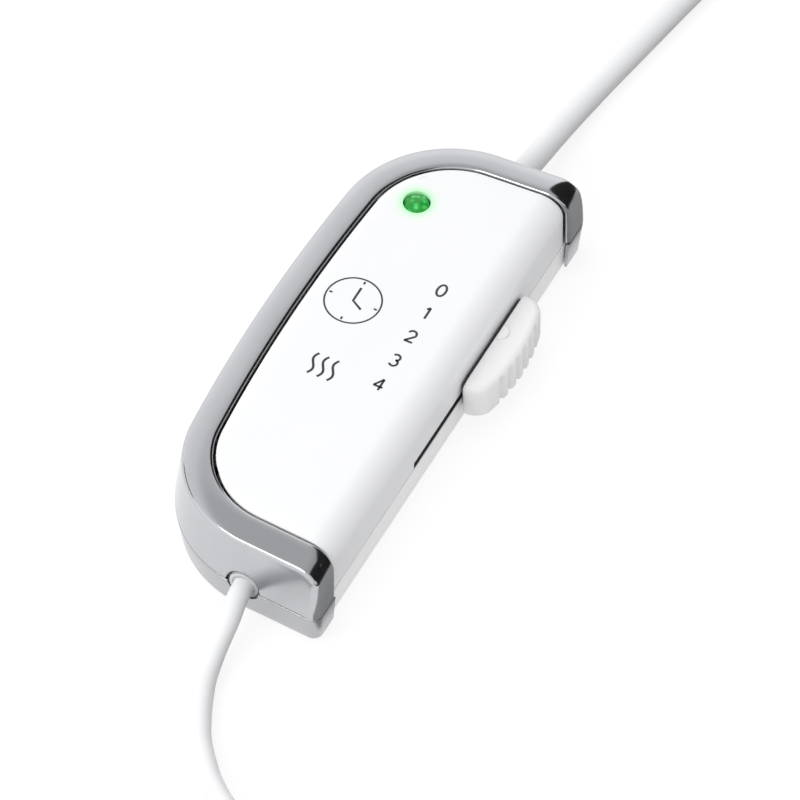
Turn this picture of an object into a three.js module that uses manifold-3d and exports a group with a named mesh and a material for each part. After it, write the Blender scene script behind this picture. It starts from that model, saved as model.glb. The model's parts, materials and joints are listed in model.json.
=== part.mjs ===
// Hand controller of a heating pad: a low two-part housing with a bright trim band,
// a heat slider on its flank, the circuit inside, a mains lead with its plug,
// and a lead to the pad with its connector.
// Millimetres, +Z up, +X towards the slider, +Y along the housing towards the mains lead.
// The origin is the middle of the base face.

import * as THREE from 'three';
import { mergeVertices } from 'three/addons/utils/BufferGeometryUtils.js';
import Module from 'manifold-3d';

const wasm = await Module();
wasm.setup();

// Clearances
const GAP = 0.3;                 // between neighbours that seat on or slide along each other
const OVERCUT = 1;               // how far a cutter runs past the face it opens

// Housing
const HOUSING_HEIGHT = 25.5;
const PARTING_HEIGHT = 9.5;      // where the two shells meet
const FLANK_REACH = 23.8;        // origin to the slider flank's trim
const LEFT_REACH = 28;           // origin to the bowed left side, at the parting line
const END_REACH = 66.8;          // origin to each end, at the parting line
const END_SLANT = 0.065;         // each end runs outwards towards the flank
const LEFT_CORNER = 30.4;
const RIGHT_CORNER = 2.4;
const BOW_RADIUS = 450;          // of the left side
const SIDE_DRAFT = 1.6;          // the upper wall leans in by this much up to the rim
const LOWER_TAPER = 1.4;         // the lower wall leans in by this much down to the base
const FLANK_TAPER = 0.6;         // and less on the slider's flank
const BASE_ROUND = 0.5;
const RIM_DROP = 1.4;            // the rim's outer edge lies this far below the panel
const RIM_ROUND = 1.5;
const RIM_REACH = 9.1;           // parting outline to the panel's edge
const SHOULDER_REACH = 6.3;      // the top rolls over into the flank
const SHOULDER_RISE = 6;
const CROWN_REACH = 3.5;         // the last soft rise inside the panel's edge
const CROWN_RISE = 0.2;
const TRIM_WALL = 1.6;
const TRIM_STEP = 1.2;           // the trim stands proud of the white flank
const TRIM_FOOT = 0.4;           // the lower trim ends above the base face
const SHELL_WALL = 2;
const FLOOR = 2.2;
const PANEL_SINK = 0.3;          // the panel lies a little below the rim's inner edge
const PANEL_GROOVE = 0.6;        // open line between the panel and the rim

// Heat slider
const STEP_PITCH = 8;            // between two heat steps
const STEP_COUNT = 5;            // off and four heat steps
const STEP_FIRST = 20.9;         // place of the off step along the housing
const KNOB_LENGTH = 32;
const KNOB_REACH = 8.4;          // how far it stands out of the flank
const KNOB_HEIGHT = 10.2;
const KNOB_LIFT = 5.6;           // base face to the knob's underside
const KNOB_BOW = 1.2;            // its outer face bows out at the middle
const KNOB_END_ROUND = 5.5;
const KNOB_EDGE = 1.8;           // rounding of its upper edge
const KNOB_FOOT_EDGE = 1;
const KNOB_FULLNESS = 0.8;       // how square the bow is
const KNOB_STEPS = 12;
const GRIP_COUNT = 6;
const GRIP_PITCH = 3.4;
const GRIP_RADIUS = 1;
const GRIP_DEPTH = 0.7;
const GRIP_TOP = 1.1;            // the grooves stop this far below the knob's top
const GRIP_SIDES = 8;
const MARK_RADIUS = 1.9;         // half-round index mark
const MARK_HEIGHT = 0.4;
const MARK_STEPS = 6;
const MARK_SHIFT = 2.4;          // from the knob's middle towards the mains end
const STEM_LENGTH = 12;
const STEM_THICK = 1.4;
const STEM_LIFT = 9.9;
const STEM_GRIP = 3.6;           // how deep the stem sits in the knob
const SLOT_END_PLAY = 0.5;
const CARRIAGE_LENGTH = 22;
const CARRIAGE_WIDTH = 5;
const CARRIAGE_LIFT = 6;
const CARRIAGE_HEIGHT = 7;
const RAIL_X = 16.2;
const RAIL_WIDTH = 2;
const RAIL_TOP = 7.6;
const RAIL_RUN_OUT = 5;          // rail length past the carriage at each end of its travel
const NOTCH_WIDTH = 3;
const NOTCH_DEPTH = 0.9;
const SPRING_POCKET_LENGTH = 16;
const SPRING_POCKET_TOP = 9.2;
const SPRING_THICK = 0.3;
const SPRING_PLAY = 0.5;         // at each end of its pocket
const WIPER_WIDTH = 6;
const WIPER_THICK = 0.4;
const WIPER_REACH = 4.6;
const WIPER_TAB = 2;
const WIPER_KNEE = 0.7;          // share of its reach at the bend

// Circuit board and what stands on it
const BOARD_THICK = 1.6;
const BOARD_LIFT = 8.7;
const BOARD_LEFT = -19.5;
const BOARD_RIGHT = 12.8;
const BOARD_BOSS_ROOM = 2;       // board's end to the screw boss beside it
const TONGUE_WIDTH = 9.4;        // carries the indicator lamp
const TONGUE_END_MARGIN = 4.3;
const POST_RADIUS = 2.5;
const POST_INSET = 4;
const PEG_RADIUS = 1.2;
const LED_X = -8;
const LED_END_REACH = 24.3;      // housing end to the indicator lamp
const LED_RADIUS = 2.5;
const LED_FLANGE = 2.9;
const LED_HEADROOM = 2.9;        // lamp's top to the ceiling
const LED_BASE = 1;
const LENS_RADIUS = 3;
const LENS_FLANGE = 4.2;
const LENS_FLANGE_THICK = 1.4;
const LENS_SINK = 0.25;          // its crown lies below the panel
const LENS_CROWN = 0.5;
const LENS_FLAT = 0.7;           // share of its radius where the crown begins to fall

// Screws and their bosses
const BOSS_RADIUS = 4;
const BOSS_LEFT_X = -17.5;
const BOSS_LEFT_END_REACH = 28.8; // housing end to the bosses
const BOSS_RIGHT_X = 15;
const BOSS_RIGHT_END_REACH = 20.8;
const SCREW_RADIUS = 1.5;
const SCREW_LENGTH = 14;
const SCREW_HEAD_RADIUS = 2.8;
const SCREW_HEAD_HEIGHT = 2;
const SCREW_SEAT = 3.2;          // base face to the head's seat
const SCREW_CROWN = 0.75;        // flat share of a screw head's radius

// Cord entries
const CORD_X = 3.5;
const MAINS_CORD = 6;            // diameters
const PAD_CORD = 5.2;
const BUSH_NECK = 1.3;           // neck's wall round the cord
const BUSH_FLANGE = 1.8;         // flange past the neck
const BUSH_FLANGE_THICK = 1.6;
const BUSH_FACE_SINK = 0.6;      // its outer face lies inside the trim's face
const BUSH_FLANGE_INSET = 5.8;   // parting outline to the flange
const SHEATH_REACH = 21;         // housing end to where the cord's sheath ends inside
const CLAMP_END_REACH = 13.5;    // housing end to the clamp
const CLAMP_WIDTH = 6;
const CLAMP_THICK = 3;
const CLAMP_POST = 3;
const CLAMP_POST_X = 8;          // cord axis to each clamp post
const CLAMP_SCREW_RADIUS = 1.2;
const CLAMP_SCREW_LENGTH = 9;
const CLAMP_HEAD_RADIUS = 2.5;
const CLAMP_HEAD_HEIGHT = 1.8;
const WIRE_RADIUS = 0.9;
const WIRE_SPREAD = 1.3;         // cord axis to each wire
const WIRE_INSET = 4.5;          // board's end to where a wire meets it
const WIRE_ARCH = 2.6;           // its height over the board
const WIRE_STEPS = 14;

// Hanks of the stored lengths, tied at the waist
const COIL_STEPS = 24;           // steps in each loop
const RUN_SHARE = 1 / 6;         // share of a turn that each long run takes
const COIL_SIDES = 6;
const COIL_LIFT = 1.3;           // room for the tie under the hank
const COIL_CREEP = 0.9;          // gap between loops side by side
const COIL_RISE = 0.8;           // gap between loops on each other
const TIE_WIDTH = 8;
const TIE_THICK = 0.8;
const TIE_EASE = 0.5;            // room for the runs, which spread again beside the waist
const LEFT_RUN = 0.5 + RUN_SHARE / 2; // turns to the middle of the first run on the left
const MAINS_COIL = {
  diameter: MAINS_CORD, centre: [4.5, 219], outer: 28, run: 70, waist: 6,
  turns: 2 * (2 + LEFT_RUN), layers: 2, way: 1,
};
const PAD_COIL = {
  diameter: PAD_CORD, centre: [4.5, -196], outer: 29.5, run: 48, waist: 3, turns: 2, layers: 1, way: -1,
};

// Plug and connector
const PLUG_WIDTH = 35;
const PLUG_THICK = 13.7;
const PLUG_BODY = 26;
const PLUG_RELIEF = 18;
const PLUG_CORNER = 5.5;
const PLUG_CHAMFER = 0.6;
const PLUG_NECK = 2;             // lengths from the relief on and back from the front
const PLUG_WAIST = 6;
const PLUG_FRONT = 7;
const PLUG_NECK_WIDTH = 0.55;    // shares of the full width
const PLUG_WAIST_WIDTH = 0.7;
const PIN_RADIUS = 2;
const PIN_LENGTH = 19;
const PIN_SEAT = 8;
const PIN_PITCH = 19;
const PIN_TIP = 0.7;             // share of its radius where the tip is cut off
const RELIEF_WALL = 1.2;         // relief's wall round the cord, at its thin end
const RELIEF_FLARE = 2.6;        // and what it gains towards the body
const RELIEF_RIBS = 4;
const RELIEF_GROOVE = 0.6;
const CONNECTOR_WIDTH = 22;
const CONNECTOR_THICK = 12.6;
const CONNECTOR_BODY = 26;
const CONNECTOR_NOSE = 9;
const CONNECTOR_NOSE_STEP = 2.4;
const CONNECTOR_CORNER = 3.5;
const CONNECTOR_CHAMFER = 0.9;
const CONNECTOR_NECK = 2;        // lengths from the relief on
const CONNECTOR_SHOULDER = 5;
const CONNECTOR_RELIEF = 14;
const CONTACT_HOLE = 1.2;
const CONTACT_PITCH = 4.6;
const CONTACT_DEPTH = 7;
const REST_LIFT = 0.1;           // plug and connector over the surface that they lie on

// Round shapes
const ROUND = 20;                // sides of a round boss, screw or bush
const EDGE_TURNS = [30, 60];     // degrees at the points inside a rounded edge
const SMALL_ROUND = 12;

// Colours
const WHITE = 0xf1f2f3;
const CHROME = 0xc8cbd0;
const SILVER = 0xb4b7bb;
const CORD_WHITE = 0xe9eaeb;

// Closed meshes and booleans

function signedVolume(geometry) {
  const at = geometry.attributes.position;
  const order = geometry.index;
  const a = new THREE.Vector3();
  const b = new THREE.Vector3();
  const c = new THREE.Vector3();
  let volume = 0;
  for (let i = 0; i < order.count; i += 3) {
    a.fromBufferAttribute(at, order.getX(i));
    b.fromBufferAttribute(at, order.getX(i + 1));
    c.fromBufferAttribute(at, order.getX(i + 2));
    volume += a.dot(b.cross(c)) / 6;
  }
  return volume;
}

// One closed mesh with shared vertices whose faces point out
function closed(geometry) {
  const bare = geometry.clone();
  bare.deleteAttribute('normal');
  bare.deleteAttribute('uv');
  const merged = mergeVertices(bare, 1e-4);
  if (signedVolume(merged) < 0) {
    const order = merged.index;
    for (let i = 0; i < order.count; i += 3) {
      const first = order.getX(i);
      order.setX(i, order.getX(i + 2));
      order.setX(i + 2, first);
    }
  }
  return merged;
}

function solid(geometry) {
  const merged = closed(geometry);
  return new wasm.Manifold(new wasm.Mesh({
    numProp: 3,
    vertProperties: new Float32Array(merged.attributes.position.array),
    triVerts: new Uint32Array(merged.index.array),
  }));
}

function surface(body) {
  const mesh = body.getMesh();
  const geometry = new THREE.BufferGeometry();
  geometry.setAttribute('position', new THREE.BufferAttribute(mesh.vertProperties, 3));
  geometry.setIndex(new THREE.BufferAttribute(mesh.triVerts, 1));
  return geometry;
}

const cutAll = (body, cutters) => cutters.reduce((left, cutter) => left.subtract(cutter), body);
const joinAll = (bodies) => bodies.reduce((sum, body) => sum.add(body));

// Shapes

// A straight-sided block between two corners
function block(low, high) {
  const size = high.map((value, axis) => value - low[axis]);
  const middle = high.map((value, axis) => (value + low[axis]) / 2);
  return new THREE.BoxGeometry(...size).translate(...middle);
}

// An upright rod
function rod(x, y, low, high, radius, sides = ROUND) {
  const geometry = new THREE.CylinderGeometry(radius, radius, high - low, sides);
  return geometry.rotateX(Math.PI / 2).translate(x, y, (low + high) / 2);
}

// A rod along Y
function barrel(x, z, low, high, radius, sides = ROUND) {
  return new THREE.CylinderGeometry(radius, radius, high - low, sides).translate(x, (low + high) / 2, z);
}

// A round piece from [radius, height] points, upright
function turned(profile, sides = ROUND) {
  const points = profile.map(([radius, height]) => new THREE.Vector2(radius, height));
  return new THREE.LatheGeometry(points, sides).rotateX(Math.PI / 2);
}

// An outline with straight sides
function flatShape(points) {
  return new THREE.Shape(points.map(([x, y]) => new THREE.Vector2(x, y)));
}

function slab(points, low, high) {
  return new THREE.ExtrudeGeometry(flatShape(points), { depth: high - low, bevelEnabled: false })
    .translate(0, 0, low);
}

// A skin over rings of equal counts, from the lowest ring to the highest
function loft(rings) {
  const count = rings[0].points.length;
  const places = rings.flatMap(({ points, z }) => points.flatMap(([x, y]) => [x, y, z]));
  const order = [];
  for (let ring = 0; ring + 1 < rings.length; ring += 1) {
    for (let i = 0; i < count; i += 1) {
      const next = (i + 1) % count;
      const a = ring * count + i;
      const b = ring * count + next;
      order.push(a, b, b + count, a, b + count, a + count);
    }
  }
  const cap = (points) => {
    const outline = points.map(([x, y]) => new THREE.Vector2(x, y));
    return THREE.ShapeUtils.triangulateShape(outline, []);
  };
  for (const [a, b, c] of cap(rings[0].points)) {
    order.push(a, c, b);
  }
  const top = (rings.length - 1) * count;
  for (const [a, b, c] of cap(rings[rings.length - 1].points)) {
    order.push(top + a, top + b, top + c);
  }
  const geometry = new THREE.BufferGeometry();
  geometry.setAttribute('position', new THREE.Float32BufferAttribute(places, 3));
  geometry.setIndex(order);
  return geometry;
}

// A tube of flat-sided section along a curve
function tube(curve, radius, sides, steps) {
  const section = [];
  for (let i = 0; i < sides; i += 1) {
    const angle = (2 * Math.PI * i) / sides;
    section.push([radius * Math.cos(angle), radius * Math.sin(angle)]);
  }
  return new THREE.ExtrudeGeometry(flatShape(section), { steps, bevelEnabled: false, extrudePath: curve });
}

function smoothCurve(points) {
  const corners = points.map((point) => new THREE.Vector3(...point));
  return new THREE.CatmullRomCurve3(corners, false, 'centripetal');
}

// A rectangle with round corners, counter-clockwise, always with the same number of points
function roundedRectangle(width, height, corner, steps = 4) {
  const radius = Math.min(corner, width / 2, height / 2);
  const points = [];
  for (let quarter = 0; quarter < 4; quarter += 1) {
    const right = quarter === 0 || quarter === 3 ? 1 : -1;
    const up = quarter < 2 ? 1 : -1;
    for (let i = 0; i <= steps; i += 1) {
      const angle = (Math.PI / 2) * (quarter + i / steps);
      points.push([
        right * (width / 2 - radius) + radius * Math.cos(angle),
        up * (height / 2 - radius) + radius * Math.sin(angle),
      ]);
    }
  }
  return points;
}

function arc(centre, radius, from, to, steps) {
  const points = [];
  for (let i = 0; i <= steps; i += 1) {
    const angle = from + ((to - from) * i) / steps;
    points.push([centre[0] + radius * Math.cos(angle), centre[1] + radius * Math.sin(angle)]);
  }
  return points;
}

// Housing outline

const SLANT_LENGTH = Math.hypot(1, END_SLANT);
const CORNER_STEPS = 3;
const LARGE_CORNER_STEPS = 7;
const BOW_STEPS = 4;
const LEAST_CORNER = 1;

// The plan of the housing, drawn in by `sides` on the left and at the ends
// and by `flank` on the slider's side
function housingPlan(sides, flank) {
  const wall = FLANK_REACH - flank;
  const end = END_REACH - sides * SLANT_LENGTH;
  const bowCentre = BOW_RADIUS - LEFT_REACH;
  const small = Math.max(RIGHT_CORNER - sides, LEAST_CORNER);
  const large = LEFT_CORNER - sides;
  const endNormal = Math.PI / 2 + Math.atan(END_SLANT);
  const smallX = wall - small;
  const smallY = end + END_SLANT * smallX - small * SLANT_LENGTH;
  // the large corner's centre lies `large` inside the end line and inside the bow
  const offset = end - large * SLANT_LENGTH;
  const inside = BOW_RADIUS - sides - large;
  const a = 1 + END_SLANT ** 2;
  const b = 2 * (offset * END_SLANT - bowCentre);
  const c = bowCentre ** 2 + offset ** 2 - inside ** 2;
  const largeX = (-b - Math.sqrt(b * b - 4 * a * c)) / (2 * a);
  const largeY = offset + END_SLANT * largeX;
  const bowAngle = Math.atan2(largeY, largeX - bowCentre);
  const bow = arc([bowCentre, 0], BOW_RADIUS - sides, bowAngle, Math.PI, BOW_STEPS);
  const far = [
    ...arc([smallX, smallY], small, 0, endNormal, CORNER_STEPS),
    ...arc([largeX, largeY], large, endNormal, bowAngle, LARGE_CORNER_STEPS),
    ...bow.slice(1, -1),
  ];
  const tip = [-LEFT_REACH + sides, 0];
  const near = far.map(([x, y]) => [x, -y]).reverse();
  return [...far, tip, ...near];
}

// How far the flank is drawn in at a height, where the top rolls over
function shoulder(z) {
  const rise = Math.max(0, z - (HOUSING_HEIGHT - SHOULDER_RISE)) / SHOULDER_RISE;
  return SHOULDER_REACH * (1 - Math.sqrt(1 - Math.min(1, rise) ** 2));
}

// Rings of the upper half: wall, round rim edge, rim and panel.
// `sink` lowers the top, `below` lengthens the foot.
function upperRings({ sides = 0, flank = 0, sink = 0, below = 0 }) {
  const rimEdge = HOUSING_HEIGHT - RIM_DROP;
  const wallTop = rimEdge - RIM_ROUND;
  const shoulderFoot = HOUSING_HEIGHT - SHOULDER_RISE;
  const draft = (z) => (SIDE_DRAFT * (z - PARTING_HEIGHT)) / (wallTop - PARTING_HEIGHT);
  const walls = [PARTING_HEIGHT];
  for (const share of [0, 0.4, 0.75, 1]) {
    walls.push(shoulderFoot + share * (wallTop - shoulderFoot));
  }
  const edge = EDGE_TURNS.map((turn) => {
    const angle = THREE.MathUtils.degToRad(turn);
    return [wallTop + RIM_ROUND * Math.sin(angle), SIDE_DRAFT + RIM_ROUND * (1 - Math.cos(angle))];
  });
  const rim = (share) => [
    rimEdge + share * (RIM_DROP - CROWN_RISE),
    SIDE_DRAFT + RIM_ROUND + share * (RIM_REACH - SIDE_DRAFT - RIM_ROUND),
  ];
  const levels = [
    ...walls.map((z) => [z, draft(z)]),
    ...edge,
    rim(0),
    rim(0.6),
    rim(1),
    [HOUSING_HEIGHT, RIM_REACH + CROWN_REACH],
  ];
  const squeeze = (HOUSING_HEIGHT - sink - PARTING_HEIGHT) / (HOUSING_HEIGHT - PARTING_HEIGHT);
  const rings = levels.map(([z, inset]) => ({
    z: PARTING_HEIGHT + (z - PARTING_HEIGHT) * squeeze,
    points: housingPlan(inset + sides, shoulder(z) + flank),
  }));
  if (below > 0) {
    rings.unshift({ z: PARTING_HEIGHT - below, points: rings[0].points });
  }
  return rings;
}

// Rings of the lower half, from the base up. `above` lengthens the top.
function lowerRings({ sides = 0, flank = 0, base = 0, above = 0 }) {
  const top = PARTING_HEIGHT - GAP;
  const levels = [[base, BASE_ROUND], [base + BASE_ROUND, 0], [top, 0]];
  const rings = levels.map(([z, round]) => {
    const depth = (top - z) / top;
    const points = housingPlan(LOWER_TAPER * depth + round + sides, FLANK_TAPER * depth + round + flank);
    return { z, points };
  });
  if (above > 0) {
    rings.push({ z: top + above, points: rings[rings.length - 1].points });
  }
  return rings;
}

// The upright prism of the panel, which runs out over the slider's flank
function panelPrism(widen) {
  const points = housingPlan(RIM_REACH - widen, -FLANK_REACH);
  return loft([{ z: -OVERCUT, points }, { z: HOUSING_HEIGHT + OVERCUT, points }]);
}

// Heights and places that several pieces share
const COVER_SKIN = TRIM_WALL + GAP;
const HOLLOW_SIDES = COVER_SKIN + SHELL_WALL;
const HOLLOW_FLANK = TRIM_STEP + SHELL_WALL;
const CEILING = HOUSING_HEIGHT - COVER_SKIN - SHELL_WALL;
const PANEL_TOP = HOUSING_HEIGHT - PANEL_SINK;
const LOWER_TOP = PARTING_HEIGHT - GAP;
const BOARD_TOP = BOARD_LIFT + BOARD_THICK;
const TRAVEL = STEP_PITCH * (STEP_COUNT - 1);
const FLANK_FACE = FLANK_REACH - TRIM_STEP;
const CORD_END = END_REACH + END_SLANT * CORD_X;
const CLAMP_Y = CORD_END - CLAMP_END_REACH;
const SHEATH_END = CORD_END - SHEATH_REACH;
const BOSS_LEFT_Y = END_REACH - BOSS_LEFT_END_REACH;
const BOSS_RIGHT_Y = END_REACH - BOSS_RIGHT_END_REACH;
const BOARD_HALF_LENGTH = BOSS_LEFT_Y - BOSS_RADIUS - BOARD_BOSS_ROOM;
const WIRE_LANDING = BOARD_HALF_LENGTH - WIRE_INSET;
const LED_Y = END_REACH - LED_END_REACH;
const LED_HEIGHT = CEILING - LED_HEADROOM - BOARD_TOP;
const BOSSES = [
  [BOSS_LEFT_X, BOSS_LEFT_Y],
  [BOSS_LEFT_X, -BOSS_LEFT_Y],
  [BOSS_RIGHT_X, BOSS_RIGHT_Y],
  [BOSS_RIGHT_X, -BOSS_RIGHT_Y],
];
const POSTS = [BOARD_LEFT + POST_INSET, BOARD_RIGHT - POST_INSET].flatMap(
  (x) => [-1, 1].map((way) => [x, way * (BOARD_HALF_LENGTH - POST_INSET)]),
);
const CORDS = [
  { name: 'mains', way: 1, radius: MAINS_CORD / 2 },
  { name: 'pad', way: -1, radius: PAD_CORD / 2 },
];

// Round openings for the two bushes, through every wall at the parting line
function cordOpenings() {
  return CORDS.map(({ way, radius }) => {
    const from = way * (SHEATH_END + CLAMP_WIDTH);
    const to = way * (CORD_END + OVERCUT);
    const reach = radius + BUSH_NECK + GAP;
    return solid(barrel(CORD_X, PARTING_HEIGHT, Math.min(from, to), Math.max(from, to), reach));
  });
}

// Housing shells

function topCover() {
  const core = solid(loft(upperRings({ sides: COVER_SKIN, flank: TRIM_STEP, sink: COVER_SKIN })));
  const panel = solid(loft(upperRings({ flank: TRIM_STEP, sink: PANEL_SINK })))
    .intersect(solid(panelPrism(-PANEL_GROOVE)));
  const hollow = solid(loft(upperRings({
    sides: HOLLOW_SIDES, flank: HOLLOW_FLANK, sink: COVER_SKIN + SHELL_WALL, below: OVERCUT,
  })));
  const shell = core.add(panel).subtract(hollow);
  const bosses = BOSSES.map(([x, y]) => solid(rod(x, y, PARTING_HEIGHT, CEILING + GAP, BOSS_RADIUS - GAP)));
  const pilots = BOSSES.map(([x, y]) => solid(
    rod(x, y, PARTING_HEIGHT - OVERCUT, SCREW_SEAT + SCREW_LENGTH + GAP, SCREW_RADIUS + GAP, SMALL_ROUND),
  ));
  const slot = solid(block(
    [FLANK_REACH - HOLLOW_FLANK - OVERCUT, STEP_FIRST - TRAVEL - STEM_LENGTH / 2 - SLOT_END_PLAY,
      PARTING_HEIGHT - OVERCUT],
    [FLANK_REACH + OVERCUT, STEP_FIRST + STEM_LENGTH / 2 + SLOT_END_PLAY, STEM_LIFT + STEM_THICK + GAP],
  ));
  const lampHole = solid(rod(LED_X, LED_Y, CEILING - OVERCUT, HOUSING_HEIGHT + OVERCUT, LENS_RADIUS + GAP));
  return cutAll(joinAll([shell, ...bosses]), [...pilots, slot, lampHole, ...cordOpenings()]);
}

function upperTrimBand() {
  const outside = solid(loft(upperRings({})));
  const inside = solid(loft(upperRings({
    sides: TRIM_WALL, flank: TRIM_STEP - GAP, sink: TRIM_WALL, below: OVERCUT,
  })));
  return cutAll(outside, [inside, solid(panelPrism(0)), ...cordOpenings()]);
}

function lowerTrimBand() {
  const outside = solid(loft(lowerRings({ base: TRIM_FOOT })));
  const core = lowerRings({ sides: TRIM_WALL, flank: TRIM_STEP - GAP, above: OVERCUT });
  core.unshift({ z: -OVERCUT, points: core[0].points });
  return cutAll(outside, [solid(loft(core)), solid(panelPrism(0)), ...cordOpenings()]);
}

// A shape drawn in Y and Z, run along X over the rail's width and `extra` to each side
function acrossRail(shape, extra = 0) {
  const run = new THREE.ExtrudeGeometry(shape, { depth: RAIL_WIDTH + 2 * extra, bevelEnabled: false });
  const start = RAIL_X - RAIL_WIDTH / 2 - extra;
  const place = new THREE.Matrix4().set(0, 0, 1, start, 1, 0, 0, 0, 0, 1, 0, 0, 0, 0, 0, 1);
  return run.applyMatrix4(place);
}

function railBody() {
  const low = STEP_FIRST - TRAVEL - CARRIAGE_LENGTH / 2 - RAIL_RUN_OUT;
  const high = STEP_FIRST + CARRIAGE_LENGTH / 2 + RAIL_RUN_OUT;
  const rail = solid(block(
    [RAIL_X - RAIL_WIDTH / 2, low, FLOOR - OVERCUT],
    [RAIL_X + RAIL_WIDTH / 2, high, RAIL_TOP],
  ));
  const notches = [];
  for (let step = 0; step < STEP_COUNT; step += 1) {
    const y = STEP_FIRST - step * STEP_PITCH;
    const wedge = flatShape([[y - NOTCH_WIDTH / 2, RAIL_TOP], [y, RAIL_TOP - NOTCH_DEPTH],
      [y + NOTCH_WIDTH / 2, RAIL_TOP], [y, RAIL_TOP + NOTCH_DEPTH]]);
    notches.push(solid(acrossRail(wedge, OVERCUT)));
  }
  return cutAll(rail, notches);
}

function bottomCover() {
  const outside = solid(loft(lowerRings({ sides: COVER_SKIN, flank: TRIM_STEP })));
  const hollow = lowerRings({ sides: HOLLOW_SIDES, flank: HOLLOW_FLANK, base: FLOOR, above: OVERCUT });
  const shell = outside.subtract(solid(loft(hollow)));
  const root = FLOOR - OVERCUT;
  const bosses = BOSSES.map(([x, y]) => solid(rod(x, y, root, LOWER_TOP, BOSS_RADIUS)));
  const posts = POSTS.flatMap(([x, y]) => [
    solid(rod(x, y, root, BOARD_LIFT - GAP, POST_RADIUS)),
    solid(rod(x, y, root, BOARD_TOP, PEG_RADIUS, SMALL_ROUND)),
  ]);
  const seats = CORDS.flatMap(({ way, radius }) => {
    const saddleTop = PARTING_HEIGHT - radius - GAP;
    const half = CLAMP_WIDTH / 2;
    const saddle = block(
      [CORD_X - radius, way * CLAMP_Y - half, root],
      [CORD_X + radius, way * CLAMP_Y + half, saddleTop],
    );
    const pillars = [-1, 1].map((side) => solid(
      rod(CORD_X + side * CLAMP_POST_X, way * CLAMP_Y, root, PARTING_HEIGHT + radius, CLAMP_POST),
    ));
    return [solid(saddle), ...pillars];
  });
  const screwHoles = BOSSES.flatMap(([x, y]) => [
    solid(rod(x, y, -OVERCUT, LOWER_TOP + OVERCUT, SCREW_RADIUS + GAP, SMALL_ROUND)),
    solid(rod(x, y, -OVERCUT, SCREW_SEAT, SCREW_HEAD_RADIUS + GAP)),
  ]);
  const clampHoles = CORDS.flatMap(({ way, radius }) => [-1, 1].map((side) => solid(rod(
    CORD_X + side * CLAMP_POST_X, way * CLAMP_Y,
    PARTING_HEIGHT + radius + CLAMP_THICK + 2 * GAP - CLAMP_SCREW_LENGTH - GAP,
    PARTING_HEIGHT + radius + OVERCUT, CLAMP_SCREW_RADIUS + GAP, SMALL_ROUND,
  ))));
  return cutAll(
    joinAll([shell, ...bosses, ...posts, ...seats, railBody()]),
    [...screwHoles, ...clampHoles, ...cordOpenings()],
  );
}

// A pan-head screw with its head down, its seat at height 0
function screwDown(radius, length, headRadius, headHeight) {
  return turned([
    [0, -headHeight], [headRadius * SCREW_CROWN, -headHeight],
    [headRadius, -headHeight / 2], [headRadius, 0],
    [radius, 0], [radius, length - radius], [0, length],
  ], SMALL_ROUND);
}

// Slider

function slideWays(low, high, y) {
  return [[RAIL_X - RAIL_WIDTH / 2 - GAP, y - CARRIAGE_LENGTH, low], [RAIL_X + RAIL_WIDTH / 2 + GAP,
    y + CARRIAGE_LENGTH, high]];
}

const CARRIAGE_FACE = RAIL_X - CARRIAGE_WIDTH / 2 + GAP;

function sliderCarriage() {
  const y = STEP_FIRST;
  const half = CARRIAGE_LENGTH / 2;
  const body = solid(block(
    [CARRIAGE_FACE, y - half, CARRIAGE_LIFT],
    [CARRIAGE_FACE + CARRIAGE_WIDTH, y + half, CARRIAGE_LIFT + CARRIAGE_HEIGHT],
  ));
  const stem = solid(block(
    [RAIL_X, y - STEM_LENGTH / 2, STEM_LIFT],
    [FLANK_FACE + GAP + STEM_GRIP, y + STEM_LENGTH / 2, STEM_LIFT + STEM_THICK],
  ));
  const groove = solid(block(...slideWays(CARRIAGE_LIFT - OVERCUT, RAIL_TOP + GAP, y)));
  const pocket = solid(block(
    [RAIL_X - RAIL_WIDTH / 2 - GAP, y - SPRING_POCKET_LENGTH / 2, CARRIAGE_LIFT],
    [RAIL_X + RAIL_WIDTH / 2 + GAP, y + SPRING_POCKET_LENGTH / 2, SPRING_POCKET_TOP],
  ));
  return cutAll(body.add(stem), [groove, pocket]);
}

// The knob's outer face, drawn in by `inset`: where its round ends stop and how far it bows out
function knobFace(inset) {
  const half = KNOB_LENGTH / 2 - inset;
  const reach = KNOB_REACH - GAP - KNOB_BOW - inset;
  const round = Math.min(KNOB_END_ROUND, reach - GAP);
  const outer = FLANK_FACE + GAP + reach;
  const corner = arc([outer - round, half - round], round, Math.PI / 6, Math.PI / 2, 4);
  const bow = (y) => {
    const share = (1 + y / corner[0][1]) / 2;
    return corner[0][0] + (KNOB_BOW + outer - corner[0][0]) * Math.sin(Math.PI * share) ** KNOB_FULLNESS;
  };
  return { half, corner, bow };
}

// The knob's plan: straight along the flank, bowed on the outside
function knobPlan(inset) {
  const { half, corner, bow } = knobFace(inset);
  const inner = FLANK_FACE + GAP + Math.min(inset, GAP);
  const face = [];
  for (let i = 1; i < KNOB_STEPS; i += 1) {
    const y = corner[0][1] * ((2 * i) / KNOB_STEPS - 1);
    face.push([bow(y), y]);
  }
  const near = corner.map(([x, y]) => [x, -y]).reverse();
  const points = [[inner, -half], ...near, ...face, ...corner, [inner, half]];
  return points.map(([x, y]) => [x, y + STEP_FIRST]);
}

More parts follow.
